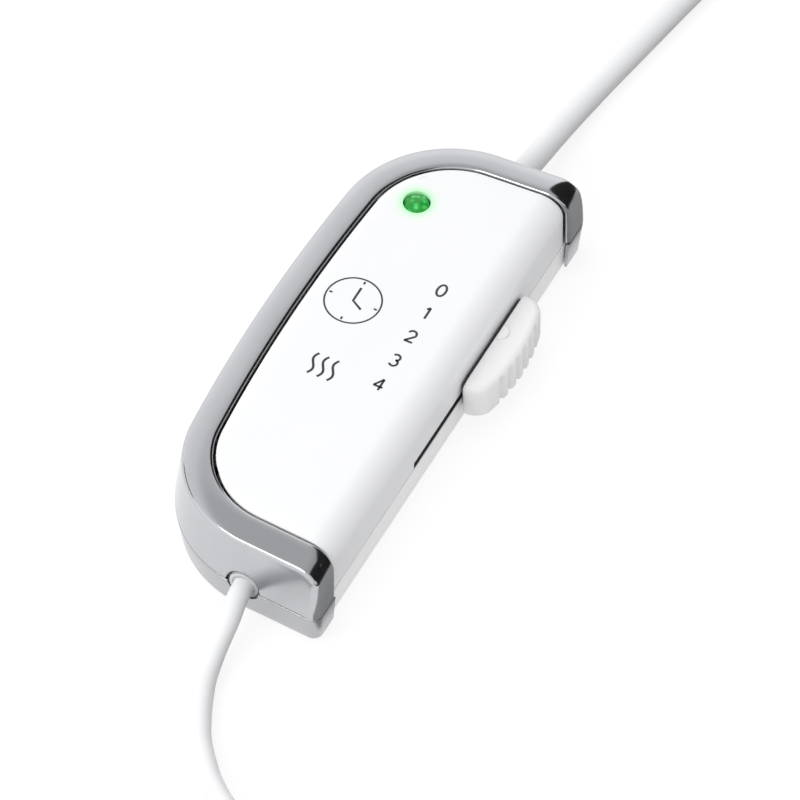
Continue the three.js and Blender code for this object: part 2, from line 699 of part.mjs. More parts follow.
function sliderKnob() {
  const top = KNOB_LIFT + KNOB_HEIGHT;
  const levels = [[KNOB_LIFT, KNOB_FOOT_EDGE], [KNOB_LIFT + KNOB_FOOT_EDGE, 0], [top - KNOB_EDGE, 0]];
  for (const turn of [...EDGE_TURNS, 90]) {
    const angle = THREE.MathUtils.degToRad(turn);
    levels.push([top - KNOB_EDGE * (1 - Math.sin(angle)), KNOB_EDGE * (1 - Math.cos(angle))]);
  }
  const body = solid(loft(levels.map(([z, inset]) => ({ z, points: knobPlan(inset) }))));
  const pocket = solid(block(
    [FLANK_FACE - OVERCUT, STEP_FIRST - STEM_LENGTH / 2 - GAP, STEM_LIFT - GAP],
    [FLANK_FACE + 2 * GAP + STEM_GRIP, STEP_FIRST + STEM_LENGTH / 2 + GAP, STEM_LIFT + STEM_THICK + GAP],
  ));
  const { bow } = knobFace(0);
  const grips = [];
  for (let i = 0; i < GRIP_COUNT; i += 1) {
    const along = (i - (GRIP_COUNT - 1) / 2) * GRIP_PITCH;
    const x = bow(along) + GRIP_RADIUS - GRIP_DEPTH;
    const y = STEP_FIRST + along;
    grips.push(solid(rod(x, y, KNOB_LIFT - OVERCUT, top - GRIP_TOP, GRIP_RADIUS, GRIP_SIDES)));
  }
  const markX = FLANK_FACE + 3 * GAP;
  const markPlan = arc([markX, STEP_FIRST + MARK_SHIFT], MARK_RADIUS, -Math.PI / 2, Math.PI / 2, MARK_STEPS);
  const mark = solid(slab(markPlan, top - OVERCUT, top + MARK_HEIGHT));
  return cutAll(body.add(mark), [pocket, ...grips]);
}

// A thin strip from a line of [along, height] points, drawn in its own plane
function stripShape(line, thick) {
  const up = line.map(([along, z]) => [along, z + thick]).reverse();
  return flatShape([...line, ...up]);
}

function detentSpring() {
  const half = SPRING_POCKET_LENGTH / 2 - SPRING_PLAY;
  const low = RAIL_TOP + GAP;
  const high = SPRING_POCKET_TOP - GAP - SPRING_THICK;
  const line = [];
  const steps = 10;
  for (let i = 0; i <= steps; i += 1) {
    const share = -1 + (2 * i) / steps;
    line.push([STEP_FIRST + half * share, low + (high - low) * share ** 2]);
  }
  return acrossRail(stripShape(line, SPRING_THICK));
}

function contactWiper() {
  const face = CARRIAGE_FACE - GAP;
  const low = BOARD_TOP + GAP;
  const points = [
    [face, low + WIPER_THICK], [face, low + WIPER_THICK + WIPER_TAB],
    [face - WIPER_THICK, low + WIPER_THICK + WIPER_TAB], [face - WIPER_THICK, low + 2 * WIPER_THICK],
    [face - WIPER_REACH * WIPER_KNEE, low + 2 * WIPER_THICK + GAP], [face - WIPER_REACH, low + WIPER_THICK],
    [face - WIPER_REACH, low], [face - WIPER_REACH * WIPER_KNEE, low + WIPER_THICK + GAP],
  ];
  const strip = new THREE.ExtrudeGeometry(flatShape(points), { depth: WIPER_WIDTH, bevelEnabled: false });
  // drawn in X and Z, and runs along Y
  return strip.rotateX(Math.PI / 2).translate(0, STEP_FIRST + WIPER_WIDTH / 2, 0);
}

// Circuit

function circuitBoard() {
  const tongueLow = LED_X - TONGUE_WIDTH / 2;
  const tongueHigh = LED_X + TONGUE_WIDTH / 2;
  const end = LED_Y + TONGUE_END_MARGIN;
  const plate = solid(slab([
    [BOARD_LEFT, -BOARD_HALF_LENGTH], [BOARD_RIGHT, -BOARD_HALF_LENGTH], [BOARD_RIGHT, BOARD_HALF_LENGTH],
    [tongueHigh, BOARD_HALF_LENGTH], [tongueHigh, end], [tongueLow, end], [tongueLow, BOARD_HALF_LENGTH],
    [BOARD_LEFT, BOARD_HALF_LENGTH],
  ], BOARD_LIFT, BOARD_TOP));
  const holes = POSTS.map(([x, y]) => solid(
    rod(x, y, BOARD_LIFT - OVERCUT, BOARD_TOP + OVERCUT, PEG_RADIUS + GAP, SMALL_ROUND),
  ));
  return cutAll(plate, holes);
}

function lamp() {
  const rise = LED_HEIGHT - LED_RADIUS;
  const dome = EDGE_TURNS.map((turn) => {
    const angle = THREE.MathUtils.degToRad(turn);
    return [LED_RADIUS * Math.cos(angle), rise + LED_RADIUS * Math.sin(angle)];
  });
  return turned([
    [0, 0], [LED_FLANGE, 0], [LED_FLANGE, LED_BASE], [LED_RADIUS, LED_BASE], [LED_RADIUS, rise], ...dome,
    [0, LED_HEIGHT],
  ]).translate(LED_X, LED_Y, BOARD_TOP);
}

function lampLens() {
  const foot = BOARD_TOP + LED_HEIGHT + GAP;
  const flangeTop = CEILING - GAP;
  const crown = PANEL_TOP - LENS_SINK;
  return turned([
    [0, foot], [LENS_RADIUS, foot], [LENS_RADIUS, flangeTop - LENS_FLANGE_THICK],
    [LENS_FLANGE, flangeTop - LENS_FLANGE_THICK], [LENS_FLANGE, flangeTop], [LENS_RADIUS, flangeTop],
    [LENS_RADIUS, crown - LENS_CROWN], [LENS_RADIUS * LENS_FLAT, crown - LENS_CROWN / 2], [0, crown],
  ]).translate(LED_X, LED_Y, 0);
}

// A wire-ended barrel lying along Y on the board
function lyingBarrel(x, y, radius, length, capLength, capRadius) {
  const half = length / 2;
  const profile = [
    [0, -half], [capRadius, -half], [capRadius, -half + capLength], [radius, -half + capLength],
    [radius, half - capLength], [capRadius, half - capLength], [capRadius, half], [0, half],
  ];
  return turned(profile, SMALL_ROUND).rotateX(-Math.PI / 2).translate(x, y, BOARD_TOP + capRadius + GAP);
}

const FUSE = { x: -13.6, y: 13, radius: 2.3, length: 20, cap: 5, capRadius: 2.6 };
const FILM_CAPACITOR = { x: -13, y: -12, width: 8, length: 18, headroom: 1.8, corner: 1 };
const TRIAC = {
  x: 0, endReach: 20, width: 10, body: 9, tab: 6.4, thick: 4.5, tabThick: 1.3, leg: 4, legWidth: 1, hole: 1.8,
};
const CHIP = {
  x: 1.5, y: 10, width: 6.4, length: 9.6, height: 3.4, legs: 4, pitch: 2.54, leg: 0.5, standOff: 0.5,
};
const VARISTOR = { x: -5.8, y: 21, headroom: 1.3, thick: 3.6, legs: 2.2, legThick: 0.5, lift: 1.2 };
const ELECTROLYTIC = { x: -7, y: 6, radius: 3.1, headroom: 2.3, groove: 0.4, crimp: 1.4 };
const RESISTORS = [[-7, -17], [-7, -8]];
const RESISTOR = { radius: 0.95, length: 6.6, cap: 1.6, capRadius: 1.2 };

function filmCapacitor() {
  const { x, y, width, length, headroom, corner } = FILM_CAPACITOR;
  const height = CEILING - headroom - BOARD_TOP;
  const ring = (inset, z) => {
    const points = roundedRectangle(width - 2 * inset, length - 2 * inset, corner, 2);
    return { z, points };
  };
  const box = loft([ring(0, 0), ring(0, height - corner), ring(corner * 0.6, height)]);
  return box.translate(x, y, BOARD_TOP);
}

function triac() {
  const { x, endReach, width, body, tab, thick, tabThick, leg, legWidth, hole } = TRIAC;
  const y = endReach - BOARD_HALF_LENGTH;
  const front = y + body / 2;
  const mould = solid(block(
    [x - width / 2, y - body / 2, BOARD_TOP],
    [x + width / 2, front, BOARD_TOP + thick],
  ));
  const plate = solid(block(
    [x - width / 2, y - body / 2 - tab, BOARD_TOP], [x + width / 2, y, BOARD_TOP + tabThick],
  ));
  const eyeY = y - body / 2 - tab / 2;
  const eye = solid(rod(x, eyeY, BOARD_TOP - OVERCUT, BOARD_TOP + thick, hole, SMALL_ROUND));
  const legs = [-1, 0, 1].map((side) => solid(block(
    [x + side * CHIP.pitch - legWidth / 2, y, BOARD_TOP],
    [x + side * CHIP.pitch + legWidth / 2, front + leg, BOARD_TOP + legWidth],
  )));
  return joinAll([mould, plate, ...legs]).subtract(eye);
}

function controlChip() {
  const { x, y, width, length, height, legs, pitch, leg, standOff } = CHIP;
  const body = solid(block(
    [x - width / 2, y - length / 2, BOARD_TOP + standOff],
    [x + width / 2, y + length / 2, BOARD_TOP + height],
  ));
  const feet = [];
  for (let i = 0; i < legs; i += 1) {
    const along = y + (i - (legs - 1) / 2) * pitch;
    feet.push(solid(block(
      [x - width / 2 - leg, along - leg, BOARD_TOP],
      [x + width / 2 + leg, along + leg, BOARD_TOP + height / 2],
    )));
  }
  const under = solid(block(
    [x - width / 2, y - length, BOARD_TOP - OVERCUT], [x + width / 2, y + length, BOARD_TOP + standOff],
  ));
  return joinAll([body, ...feet]).subtract(under);
}

function varistor() {
  const { x, y, headroom, thick, legs, legThick, lift } = VARISTOR;
  const radius = (CEILING - headroom - BOARD_TOP - lift) / 2;
  const middle = BOARD_TOP + lift + radius;
  const disc = solid(barrel(x, middle, y - thick / 2, y + thick / 2, radius));
  const feet = [-1, 1].map((side) => solid(block(
    [x + side * legs - legThick, y - legThick, BOARD_TOP],
    [x + side * legs + legThick, y + legThick, middle],
  )));
  return joinAll([disc, ...feet]);
}

function electrolytic() {
  const { x, y, radius, headroom, groove, crimp } = ELECTROLYTIC;
  const height = CEILING - headroom - BOARD_TOP;
  return turned([
    [0, 0], [radius, 0], [radius, crimp - groove], [radius - groove, crimp], [radius, crimp + groove],
    [radius, height - groove],
    [radius - groove, height], [0, height],
  ]).translate(x, y, BOARD_TOP);
}

// Cord entries

function cordBush({ way, radius }) {
  const face = CORD_END - BUSH_FACE_SINK;
  const flange = CORD_END - BUSH_FLANGE_INSET;
  const neck = radius + BUSH_NECK;
  const profile = [
    [0, SHEATH_END], [radius, SHEATH_END], [radius, flange - BUSH_FLANGE_THICK],
    [neck + BUSH_FLANGE, flange - BUSH_FLANGE_THICK], [neck + BUSH_FLANGE, flange], [neck, flange],
    [neck, face], [0, face],
  ];
  return turned(profile).rotateX(-way * Math.PI / 2).translate(CORD_X, 0, PARTING_HEIGHT);
}

function cordClamp({ way, radius }) {
  const low = PARTING_HEIGHT + radius + GAP;
  const half = CLAMP_WIDTH / 2;
  const reach = CLAMP_POST_X + CLAMP_POST;
  const bar = solid(slab(
    roundedRectangle(2 * reach, CLAMP_WIDTH, half).map(([x, y]) => [x + CORD_X, y + way * CLAMP_Y]),
    low, low + CLAMP_THICK,
  ));
  const holes = [-1, 1].map((side) => solid(rod(
    CORD_X + side * CLAMP_POST_X, way * CLAMP_Y, low - OVERCUT, low + CLAMP_THICK + OVERCUT,
    CLAMP_SCREW_RADIUS + GAP, SMALL_ROUND,
  )));
  return cutAll(bar, holes);
}

// A wire from the end of a cord's sheath, in an arch, down to the board
function innerWire(way, side) {
  const x = CORD_X + side * WIRE_SPREAD;
  const start = SHEATH_END - GAP;
  const arch = BOARD_TOP + WIRE_ARCH;
  const run = start - WIRE_LANDING;
  const points = [
    [x, way * start, PARTING_HEIGHT], [x, way * (start - 2 * WIRE_RADIUS), PARTING_HEIGHT],
    [x, way * (WIRE_LANDING + run * 0.5), arch - WIRE_RADIUS], [x, way * (WIRE_LANDING + run * 0.2), arch],
    [x, way * WIRE_LANDING, arch - WIRE_RADIUS], [x, way * WIRE_LANDING, BOARD_TOP + GAP],
  ];
  return tube(smoothCurve(points), WIRE_RADIUS, COIL_SIDES, WIRE_STEPS);
}

// Free cords

// Routes of the free stretches, from the housing to the coil and from the coil to the plug or connector
const MAINS_ROUTE = [
  [3.5, 66.7, 9.5], [3.5, 71, 9.4], [3.7, 77.7, 8.2], [4.2, 87.1, 5], [4.8, 95.4, 3.4], [5.4, 107.4, 3.1],
  [6.7, 115.2, 3.1], [8.1, 123.3, 3.1], [10.6, 137.9, 3.1], [11.8, 144.3, 3.2], [13.5, 151.5, 3.4],
  [18, 157.2, 3.7], [25.6, 162.6, 4], [30.9, 168, 4.2],
];
const PAD_ROUTE = [
  [3.5, -66.7, 9.5], [3.9, -70.3, 9.4], [4.8, -76.1, 8.3], [5, -83, 5], [6.1, -90, 2.9], [8.1, -95.6, 2.7],
  [10.4, -100.8, 2.7], [13.1, -105.9, 2.7], [16.7, -110.6, 2.7], [20.5, -114.9, 2.7], [24.2, -118.2, 2.8],
  [30, -122.9, 3.1], [33.3, -128.4, 3.4], [34, -137, 3.7],
];

class CoilCurve extends THREE.Curve {
  constructor({ diameter, centre, outer, run, waist, turns, layers, way }) {
    super();
    Object.assign(this, { diameter, centre, outer, run, waist, turns, layers, way });
    this.perLayer = turns / layers;
    this.creep = diameter + COIL_CREEP;
    this.rise = diameter + COIL_RISE;
    this.top = COIL_LIFT + diameter + this.rise * (layers - 1);
    this.lead = diameter;
    // each straight end takes one step of the curve's parameter
    this.steps = Math.round(turns * COIL_STEPS) + 2;
    this.leadShare = 1 / this.steps;
    this.arcLengthDivisions = 4 * this.steps;
    this.first = this.wound(0);
    this.last = this.wound(turns);
    const small = 1e-3;
    this.inward = this.wound(small).sub(this.first).normalize();
    this.onward = this.last.clone().sub(this.wound(turns - small)).normalize();
  }

  // Steps go by turns and not by length, so that the bends get most of them
  getUtoTmapping(share) {
    return share;
  }

  // Distance of the wound cord from the hank's middle line, away from the waist
  reach(turn) {
    const layer = Math.min(Math.floor(turn / this.perLayer), this.layers - 1);
    const within = turn - layer * this.perLayer;
    const drawnIn = layer % 2 === 0 ? within : this.perLayer - within;
    return this.outer - this.creep * drawnIn;
  }

  // A point on the wound part, `turn` turns from its start: each half turn is a run, then a bend.
  // All runs are drawn in alike at the waist, and a layer is climbed along a run.
  wound(turn) {
    const reach = this.reach(turn);
    let z = COIL_LIFT + this.diameter / 2;
    for (let k = 1; k < this.layers; k += 1) {
      const share = THREE.MathUtils.clamp((turn - k * this.perLayer) / RUN_SHARE + 0.5, 0, 1);
      z += this.rise * share;
    }
    const part = turn - Math.floor(turn);
    const side = part < 0.5 ? 1 : -1;
    const within = part < 0.5 ? part : part - 0.5;
    const along = Math.min(within / RUN_SHARE, 1) - 0.5;
    const bend = (Math.PI * Math.max(within - RUN_SHARE, 0)) / (0.5 - RUN_SHARE);
    const drawn = this.waist * Math.cos(Math.PI * along) ** 2;
    const x = side * (reach * Math.cos(bend) - drawn);
    const y = side * (this.run * along + reach * Math.sin(bend));
    return new THREE.Vector3(this.centre[0] + x, this.centre[1] + this.way * y, z);
  }

  getPoint(share, target = new THREE.Vector3()) {
    if (share < this.leadShare) {
      const back = this.lead * (1 - share / this.leadShare);
      return target.copy(this.first).addScaledVector(this.inward, -back);
    }
    if (share > 1 - this.leadShare) {
      return target.copy(this.last)
        .addScaledVector(this.onward, this.lead * (1 - (1 - share) / this.leadShare));
    }
    return target.copy(this.wound((this.turns * (share - this.leadShare)) / (1 - 2 * this.leadShare)));
  }
}

// The least gap between a coil's loops, measured on points along its middle line
function leastGap(coil) {
  const perTurn = 120;
  const count = Math.round(coil.turns * perTurn);
  const points = [];
  for (let i = 0; i <= count; i += 1) {
    points.push(coil.wound((coil.turns * i) / count));
  }
  let least = Infinity;
  for (let i = 0; i < points.length; i += 1) {
    for (let j = i + perTurn / 4; j < points.length; j += 1) {
      least = Math.min(least, points[i].distanceTo(points[j]));
    }
  }
  return least - coil.diameter;
}

// A flat band round a hank's runs at its waist, between the outer sides of two runs or of one bundle
function coilTie(coil, from, to) {
  const low = COIL_LIFT - GAP;
  const high = coil.top + GAP;
  const corner = coil.diameter / 2;
  const ring = (grow) => roundedRectangle(to - from + 2 * grow, high - low + 2 * grow, corner + grow);
  const band = solid(slab(ring(TIE_THICK), -TIE_WIDTH / 2, TIE_WIDTH / 2))
    .subtract(solid(slab(ring(0), -TIE_WIDTH, TIE_WIDTH)));
  // drawn across the bundle, then stood upright
  const geometry = surface(band).rotateX(Math.PI / 2);
  return geometry.translate(coil.centre[0] + (from + to) / 2, coil.centre[1], (low + high) / 2);
}

const mainsCoil = new CoilCurve(MAINS_COIL);
const padCoil = new CoilCurve(PAD_COIL);
for (const [name, coil] of [['mains', mainsCoil], ['pad', padCoil]]) {
  const length = coil.getLength();
  console.log(`${name} coil: least gap ${leastGap(coil).toFixed(2)} mm, length ${length.toFixed(0)} mm`);
}

// A free stretch that runs on from its chosen points to the coil's straight end
function stretchTo(route, coil) {
  const end = coil.getPoint(0).addScaledVector(coil.inward, -GAP);
  const before = end.clone().addScaledVector(coil.inward, -coil.diameter);
  return smoothCurve([...route, before.toArray(), end.toArray()]);
}

// The tail from the coil's other end to the piece on the cord
function tailFrom(coil, route) {
  const start = coil.getPoint(1).addScaledVector(coil.onward, GAP);
  const after = start.clone().addScaledVector(coil.onward, coil.diameter);
  return smoothCurve([start.toArray(), after.toArray(), ...route]);
}

// Plug and connector: the place where the cord enters and the heading in degrees
const PLUG_AT = { x: 4.5, y: 258, heading: 270 };
const CONNECTOR_AT = { x: 3.9, y: -216, heading: 90 };
// the plug lies on the tie of its hank
const plugMiddle = mainsCoil.top + GAP + TIE_THICK + GAP + PLUG_THICK / 2;
const connectorMiddle = CONNECTOR_THICK / 2 + REST_LIFT;

// The last points of a tail, straight into the piece
function intoPiece({ x, y, heading }, z, diameter) {
  const angle = THREE.MathUtils.degToRad(heading);
  const last = [GAP + 1.5 * diameter, GAP];
  return last.map((back) => [x - back * Math.cos(angle), y - back * Math.sin(angle), z]);
}

const MAINS_TAIL = [[31.4, 271.2, 12.2], [26.2, 277.6, 14.4], [18.6, 279.8, 17], [10.8, 277, 19.6]];
const PAD_TAIL = [
  [19.8, -190, 3.9], [19, -197, 3.9], [20, -206, 3.9], [21.3, -218, 4.1], [19, -228, 4.8],
  [13.2, -232.4, 5.5], [7.2, -229.8, 6.2],
];
const mainsTail = tailFrom(mainsCoil, [...MAINS_TAIL, ...intoPiece(PLUG_AT, plugMiddle, MAINS_CORD)]);
const padTail = tailFrom(padCoil, [...PAD_TAIL, ...intoPiece(CONNECTOR_AT, connectorMiddle, PAD_CORD)]);

// Rings of a ribbed strain relief, from its thin end, in the piece's own upright frame
function reliefRings(diameter, length) {
  const rings = [];
  const steps = 2 * RELIEF_RIBS;
  for (let i = 0; i <= steps; i += 1) {
    const share = i / steps;
    const groove = i % 2 === 1 ? RELIEF_GROOVE : 0;
    const wide = diameter + 2 * (RELIEF_WALL + RELIEF_FLARE * share - groove);
    rings.push({ z: length * share, points: roundedRectangle(wide, wide, wide / 2) });
  }
  return rings;
}

function plugBody() {
  const front = PLUG_RELIEF + PLUG_BODY;
  const ring = (z, thick, width) => ({ z, points: roundedRectangle(thick, width, PLUG_CORNER) });
  const body = solid(loft([
    ...reliefRings(MAINS_CORD, PLUG_RELIEF),
    ring(PLUG_RELIEF + PLUG_NECK, PLUG_THICK - 2 * PLUG_CHAMFER, PLUG_WIDTH * PLUG_NECK_WIDTH),
    ring(PLUG_RELIEF + PLUG_WAIST, PLUG_THICK, PLUG_WIDTH * PLUG_WAIST_WIDTH),
    ring(front - PLUG_FRONT, PLUG_THICK, PLUG_WIDTH),
    ring(front - PLUG_CHAMFER, PLUG_THICK, PLUG_WIDTH),
    ring(front, PLUG_THICK - 2 * PLUG_CHAMFER, PLUG_WIDTH - 2 * PLUG_CHAMFER),
  ]));
  const seats = [-1, 1].map((side) => solid(
    rod(0, (side * PIN_PITCH) / 2, front - PIN_SEAT - GAP, front + OVERCUT, PIN_RADIUS + GAP, SMALL_ROUND),
  ));
  return cutAll(body, seats);
}

function plugPin(side) {
  const front = PLUG_RELIEF + PLUG_BODY;
  const tip = front + PIN_LENGTH;
  return turned([
    [0, front - PIN_SEAT], [PIN_RADIUS, front - PIN_SEAT], [PIN_RADIUS, tip - PIN_RADIUS],
    [PIN_RADIUS * PIN_TIP, tip - PIN_RADIUS * (1 - PIN_TIP)], [0, tip],
  ], SMALL_ROUND).translate(0, (side * PIN_PITCH) / 2, 0);
}

function connectorBody() {
  const front = CONNECTOR_RELIEF + CONNECTOR_BODY;
  const ring = (z, inset) => ({
    z,
    points: roundedRectangle(CONNECTOR_THICK - 2 * inset, CONNECTOR_WIDTH - 2 * inset, CONNECTOR_CORNER),
  });
  const body = solid(loft([
    ...reliefRings(PAD_CORD, CONNECTOR_RELIEF),
    ring(CONNECTOR_RELIEF + CONNECTOR_NECK, CONNECTOR_CHAMFER),
    ring(CONNECTOR_RELIEF + CONNECTOR_SHOULDER, 0),
    ring(front - CONNECTOR_CHAMFER, 0),
    ring(front, CONNECTOR_CHAMFER),
  ]));
  const nose = solid(loft([
    ring(front - CONNECTOR_NECK, CONNECTOR_NOSE_STEP), ring(front + CONNECTOR_NOSE, CONNECTOR_NOSE_STEP),
  ]));
  const tip = front + CONNECTOR_NOSE;
  const holes = [-1, 0, 1].map((side) => solid(
    rod(0, side * CONTACT_PITCH, tip - CONTACT_DEPTH, tip + OVERCUT, CONTACT_HOLE, SMALL_ROUND),
  ));
  return cutAll(body.add(nose), holes);
}

// Assembly

const controller = new THREE.Group();

function add(name, geometry, color, roughness, metalness, parent = controller) {
  const shape = closed(geometry);
  shape.computeVertexNormals();
  const mesh = new THREE.Mesh(shape, new THREE.MeshStandardMaterial({ color, roughness, metalness }));
  mesh.name = name;
  parent.add(mesh);
  return mesh;
}

add('top_cover', surface(topCover()), WHITE, 0.35, 0);
add('upper_trim_band', surface(upperTrimBand()), CHROME, 0.15, 1);
add('bottom_cover', surface(bottomCover()), WHITE, 0.4, 0);
add('lower_trim_band', surface(lowerTrimBand()), SILVER, 0.3, 1);

add('slider_knob', surface(sliderKnob()), WHITE, 0.4, 0);
add('slider_carriage', surface(sliderCarriage()), 0x3c3f42, 0.6, 0);
add('contact_wiper', contactWiper(), 0xc79a4a, 0.3, 1);
add('detent_spring', detentSpring(), 0xb8bcc0, 0.3, 1);

add('circuit_board', surface(circuitBoard()), 0x2f6b3c, 0.6, 0);
add('led', lamp(), 0x35c45a, 0.2, 0);
add('led_lens', lampLens(), 0x3fd86a, 0.15, 0);
const { x: fuseX, y: fuseY, radius: fuseRadius, length: fuseLength, cap: fuseCap, capRadius } = FUSE;
add('fuse', lyingBarrel(fuseX, fuseY, fuseRadius, fuseLength, fuseCap, capRadius), 0xcdd3d6, 0.2, 0.2);
add('film_capacitor', filmCapacitor(), 0xc9a227, 0.5, 0);
add('triac', surface(triac()), 0x2a2a2c, 0.6, 0);
add('control_chip', surface(controlChip()), 0x1d1e20, 0.6, 0);
add('varistor', surface(varistor()), 0x2b5fa8, 0.5, 0);
add('electrolytic_capacitor', electrolytic(), 0x22303c, 0.4, 0);
RESISTORS.forEach(([x, y], i) => {
  const shape = lyingBarrel(x, y, RESISTOR.radius, RESISTOR.length, RESISTOR.cap, RESISTOR.capRadius);
  add(`resistor_${i + 1}`, shape, 0xd2b48c, 0.6, 0);
});

let clampScrews = 0;
for (const cord of CORDS) {
  const { name, way, radius } = cord;
  add(`${name}_bush`, cordBush(cord), 0xdfe1e3, 0.6, 0);
  add(`${name}_cord_clamp`, surface(cordClamp(cord)), 0xd8d9da, 0.6, 0);
  for (const side of [-1, 1]) {
    clampScrews += 1;
    const screw = screwDown(CLAMP_SCREW_RADIUS, CLAMP_SCREW_LENGTH, CLAMP_HEAD_RADIUS, CLAMP_HEAD_HEIGHT);
    screw.rotateX(Math.PI);
    const seat = PARTING_HEIGHT + radius + CLAMP_THICK + 2 * GAP;
    screw.translate(CORD_X + side * CLAMP_POST_X, way * CLAMP_Y, seat);
    add(`clamp_screw_${clampScrews}`, screw, 0xa9adb1, 0.3, 1);
  }
}
add('mains_wire_live', innerWire(1, 1), 0x7a4a26, 0.5, 0);
add('mains_wire_neutral', innerWire(1, -1), 0x2f62b5, 0.5, 0);
add('pad_wire_1', innerWire(-1, 1), 0xb8332c, 0.5, 0);
add('pad_wire_2', innerWire(-1, -1), 0x2b2b2d, 0.5, 0);
BOSSES.forEach(([x, y], i) => {
  const screw = screwDown(SCREW_RADIUS, SCREW_LENGTH, SCREW_HEAD_RADIUS, SCREW_HEAD_HEIGHT);
  add(`housing_screw_${i + 1}`, screw.translate(x, y, SCREW_SEAT - GAP), 0xa9adb1, 0.3, 1);
});

add('mains_cord', tube(stretchTo(MAINS_ROUTE, mainsCoil), MAINS_CORD / 2, 10, 22), CORD_WHITE, 0.5, 0);
add('mains_cord_coil', tube(mainsCoil, MAINS_CORD / 2, COIL_SIDES, mainsCoil.steps), CORD_WHITE, 0.5, 0);
add('mains_cord_tail', tube(mainsTail, MAINS_CORD / 2, 10, 16), CORD_WHITE, 0.5, 0);
const mainsSnug = MAINS_CORD / 2 + GAP + TIE_EASE - mainsCoil.waist;
const mainsLeft = mainsCoil.reach(LEFT_RUN) + mainsSnug;
const mainsRight = mainsCoil.reach(RUN_SHARE / 2) + mainsSnug;
add('mains_cord_tie', coilTie(mainsCoil, -mainsLeft, mainsRight), 0x2a2b2d, 0.7, 0);
add('pad_cord', tube(stretchTo(PAD_ROUTE, padCoil), PAD_CORD / 2, 10, 24), CORD_WHITE, 0.5, 0);
add('pad_cord_coil', tube(padCoil, PAD_CORD / 2, COIL_SIDES, padCoil.steps), CORD_WHITE, 0.5, 0);
add('pad_cord_tail', tube(padTail, PAD_CORD / 2, 10, 16), CORD_WHITE, 0.5, 0);
// the pad tie holds the runs on the left, beside the connector
const padSnug = PAD_CORD / 2 + GAP + TIE_EASE;
const padOuter = padCoil.reach(LEFT_RUN) - padCoil.waist + padSnug;
const padInner = padCoil.reach(LEFT_RUN + 1) - padCoil.waist - padSnug;
add('pad_cord_tie', coilTie(padCoil, -padOuter, -padInner), 0x2a2b2d, 0.7, 0);

// A piece on a cord is drawn upright with its cord end at height 0, laid down and turned to its heading
function lay({ x, y, heading }, z) {
  const turn = new THREE.Group();
  turn.position.set(x, y, z);
  turn.rotation.z = THREE.MathUtils.degToRad(heading);
  const flat = new THREE.Group();
  flat.rotation.y = Math.PI / 2;
  turn.add(flat);
  controller.add(turn);
  return flat;
}

const plug = lay(PLUG_AT, plugMiddle);
add('mains_plug', surface(plugBody()), CORD_WHITE, 0.45, 0, plug);
add('mains_plug_pin_1', plugPin(-1), 0xc4b89a, 0.25, 1, plug);
add('mains_plug_pin_2', plugPin(1), 0xc4b89a, 0.25, 1, plug);
add('pad_connector', surface(connectorBody()), CORD_WHITE, 0.45, 0, lay(CONNECTOR_AT, connectorMiddle));

export default controller;
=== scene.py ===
import json
import math

import bpy
from mathutils import Matrix, Vector


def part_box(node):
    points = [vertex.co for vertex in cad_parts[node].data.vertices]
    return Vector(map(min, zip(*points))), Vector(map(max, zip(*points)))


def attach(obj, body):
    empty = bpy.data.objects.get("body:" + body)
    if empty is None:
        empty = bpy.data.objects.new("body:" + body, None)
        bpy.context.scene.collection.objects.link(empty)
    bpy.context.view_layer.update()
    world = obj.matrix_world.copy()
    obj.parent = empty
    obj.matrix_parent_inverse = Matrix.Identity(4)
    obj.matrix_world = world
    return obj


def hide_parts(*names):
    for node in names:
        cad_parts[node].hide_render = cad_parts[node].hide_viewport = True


bl_info = {
    "name": "Heating Pad Controller",
    "version": (1, 0, 0),
    "blender": (4, 5, 0),
    "location": "View3D > Sidebar > Controller",
    "description": "Dresses the packed frame of a heating pad's hand controller",
    "category": "Object",
}

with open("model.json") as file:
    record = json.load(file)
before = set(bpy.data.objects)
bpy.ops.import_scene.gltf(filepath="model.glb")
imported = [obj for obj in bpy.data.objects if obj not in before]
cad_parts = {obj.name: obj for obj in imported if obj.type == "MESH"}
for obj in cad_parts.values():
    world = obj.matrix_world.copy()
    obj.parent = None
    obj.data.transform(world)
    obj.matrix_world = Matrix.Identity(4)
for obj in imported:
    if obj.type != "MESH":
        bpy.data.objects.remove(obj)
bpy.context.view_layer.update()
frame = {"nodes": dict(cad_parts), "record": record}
MM = 0.001

# Steps of the housing's outlines
FLANK_STEPS = 6
ROLL_STEPS = 14
CORNER_STEPS = 12
END_STEPS = 8
ENTRY_STEPS = 28
ROUND_STEPS = 34
BOW_STEPS = 18
# Half the plain stretch round a lead's opening, in radii of the opening
ENTRY_EDGE = 1.15
# Steps of the upper trim's section: wall, outer edge, rim and lip
WALL_STEPS, EDGE_STEPS, RIM_STEPS, LIP_STEPS = 16, 10, 14, 11
# Steps of the knob: foot, side, upper edge, and along its grip
FOOT_STEPS, SIDE_STEPS, TOP_STEPS, GRIP_STEPS = 5, 12, 9, 120
# Steps of the leads: between two points of a route, round a turn of a hank, and round a tie
ROUTE_STEPS, TURN_STEPS, TIE_STEPS = 6, 48, 96

# Steps of the top cover: across the panel, over the shoulder, and along it before, beside and past the slot
PANEL_COLUMNS = 40
SHOULDER_STEPS = 16
SLOT_ROWS = (26, 36, 24)
# How far the panel's edge goes down into the groove below its rounding
PANEL_SKIRT = 1.1 * MM
# How far below the crown the lens glows, and the panel round it keeps its painted glow
LENS_AND_PAINTED_GLOW_DEPTH = 1.2 * MM

# Section of the upper trim: turn of its outer edge in degrees, power of the rim's fall, and depth of the crown
RIM_TURN = 62
RIM_FALL = 2.3
CROWN_DEPTH = 0.25 * MM
# Arms of the upper trim: share of the way down in which the section turns over, and power of their lean
ARM_TURN = 0.7
ARM_LEAN = 1.7

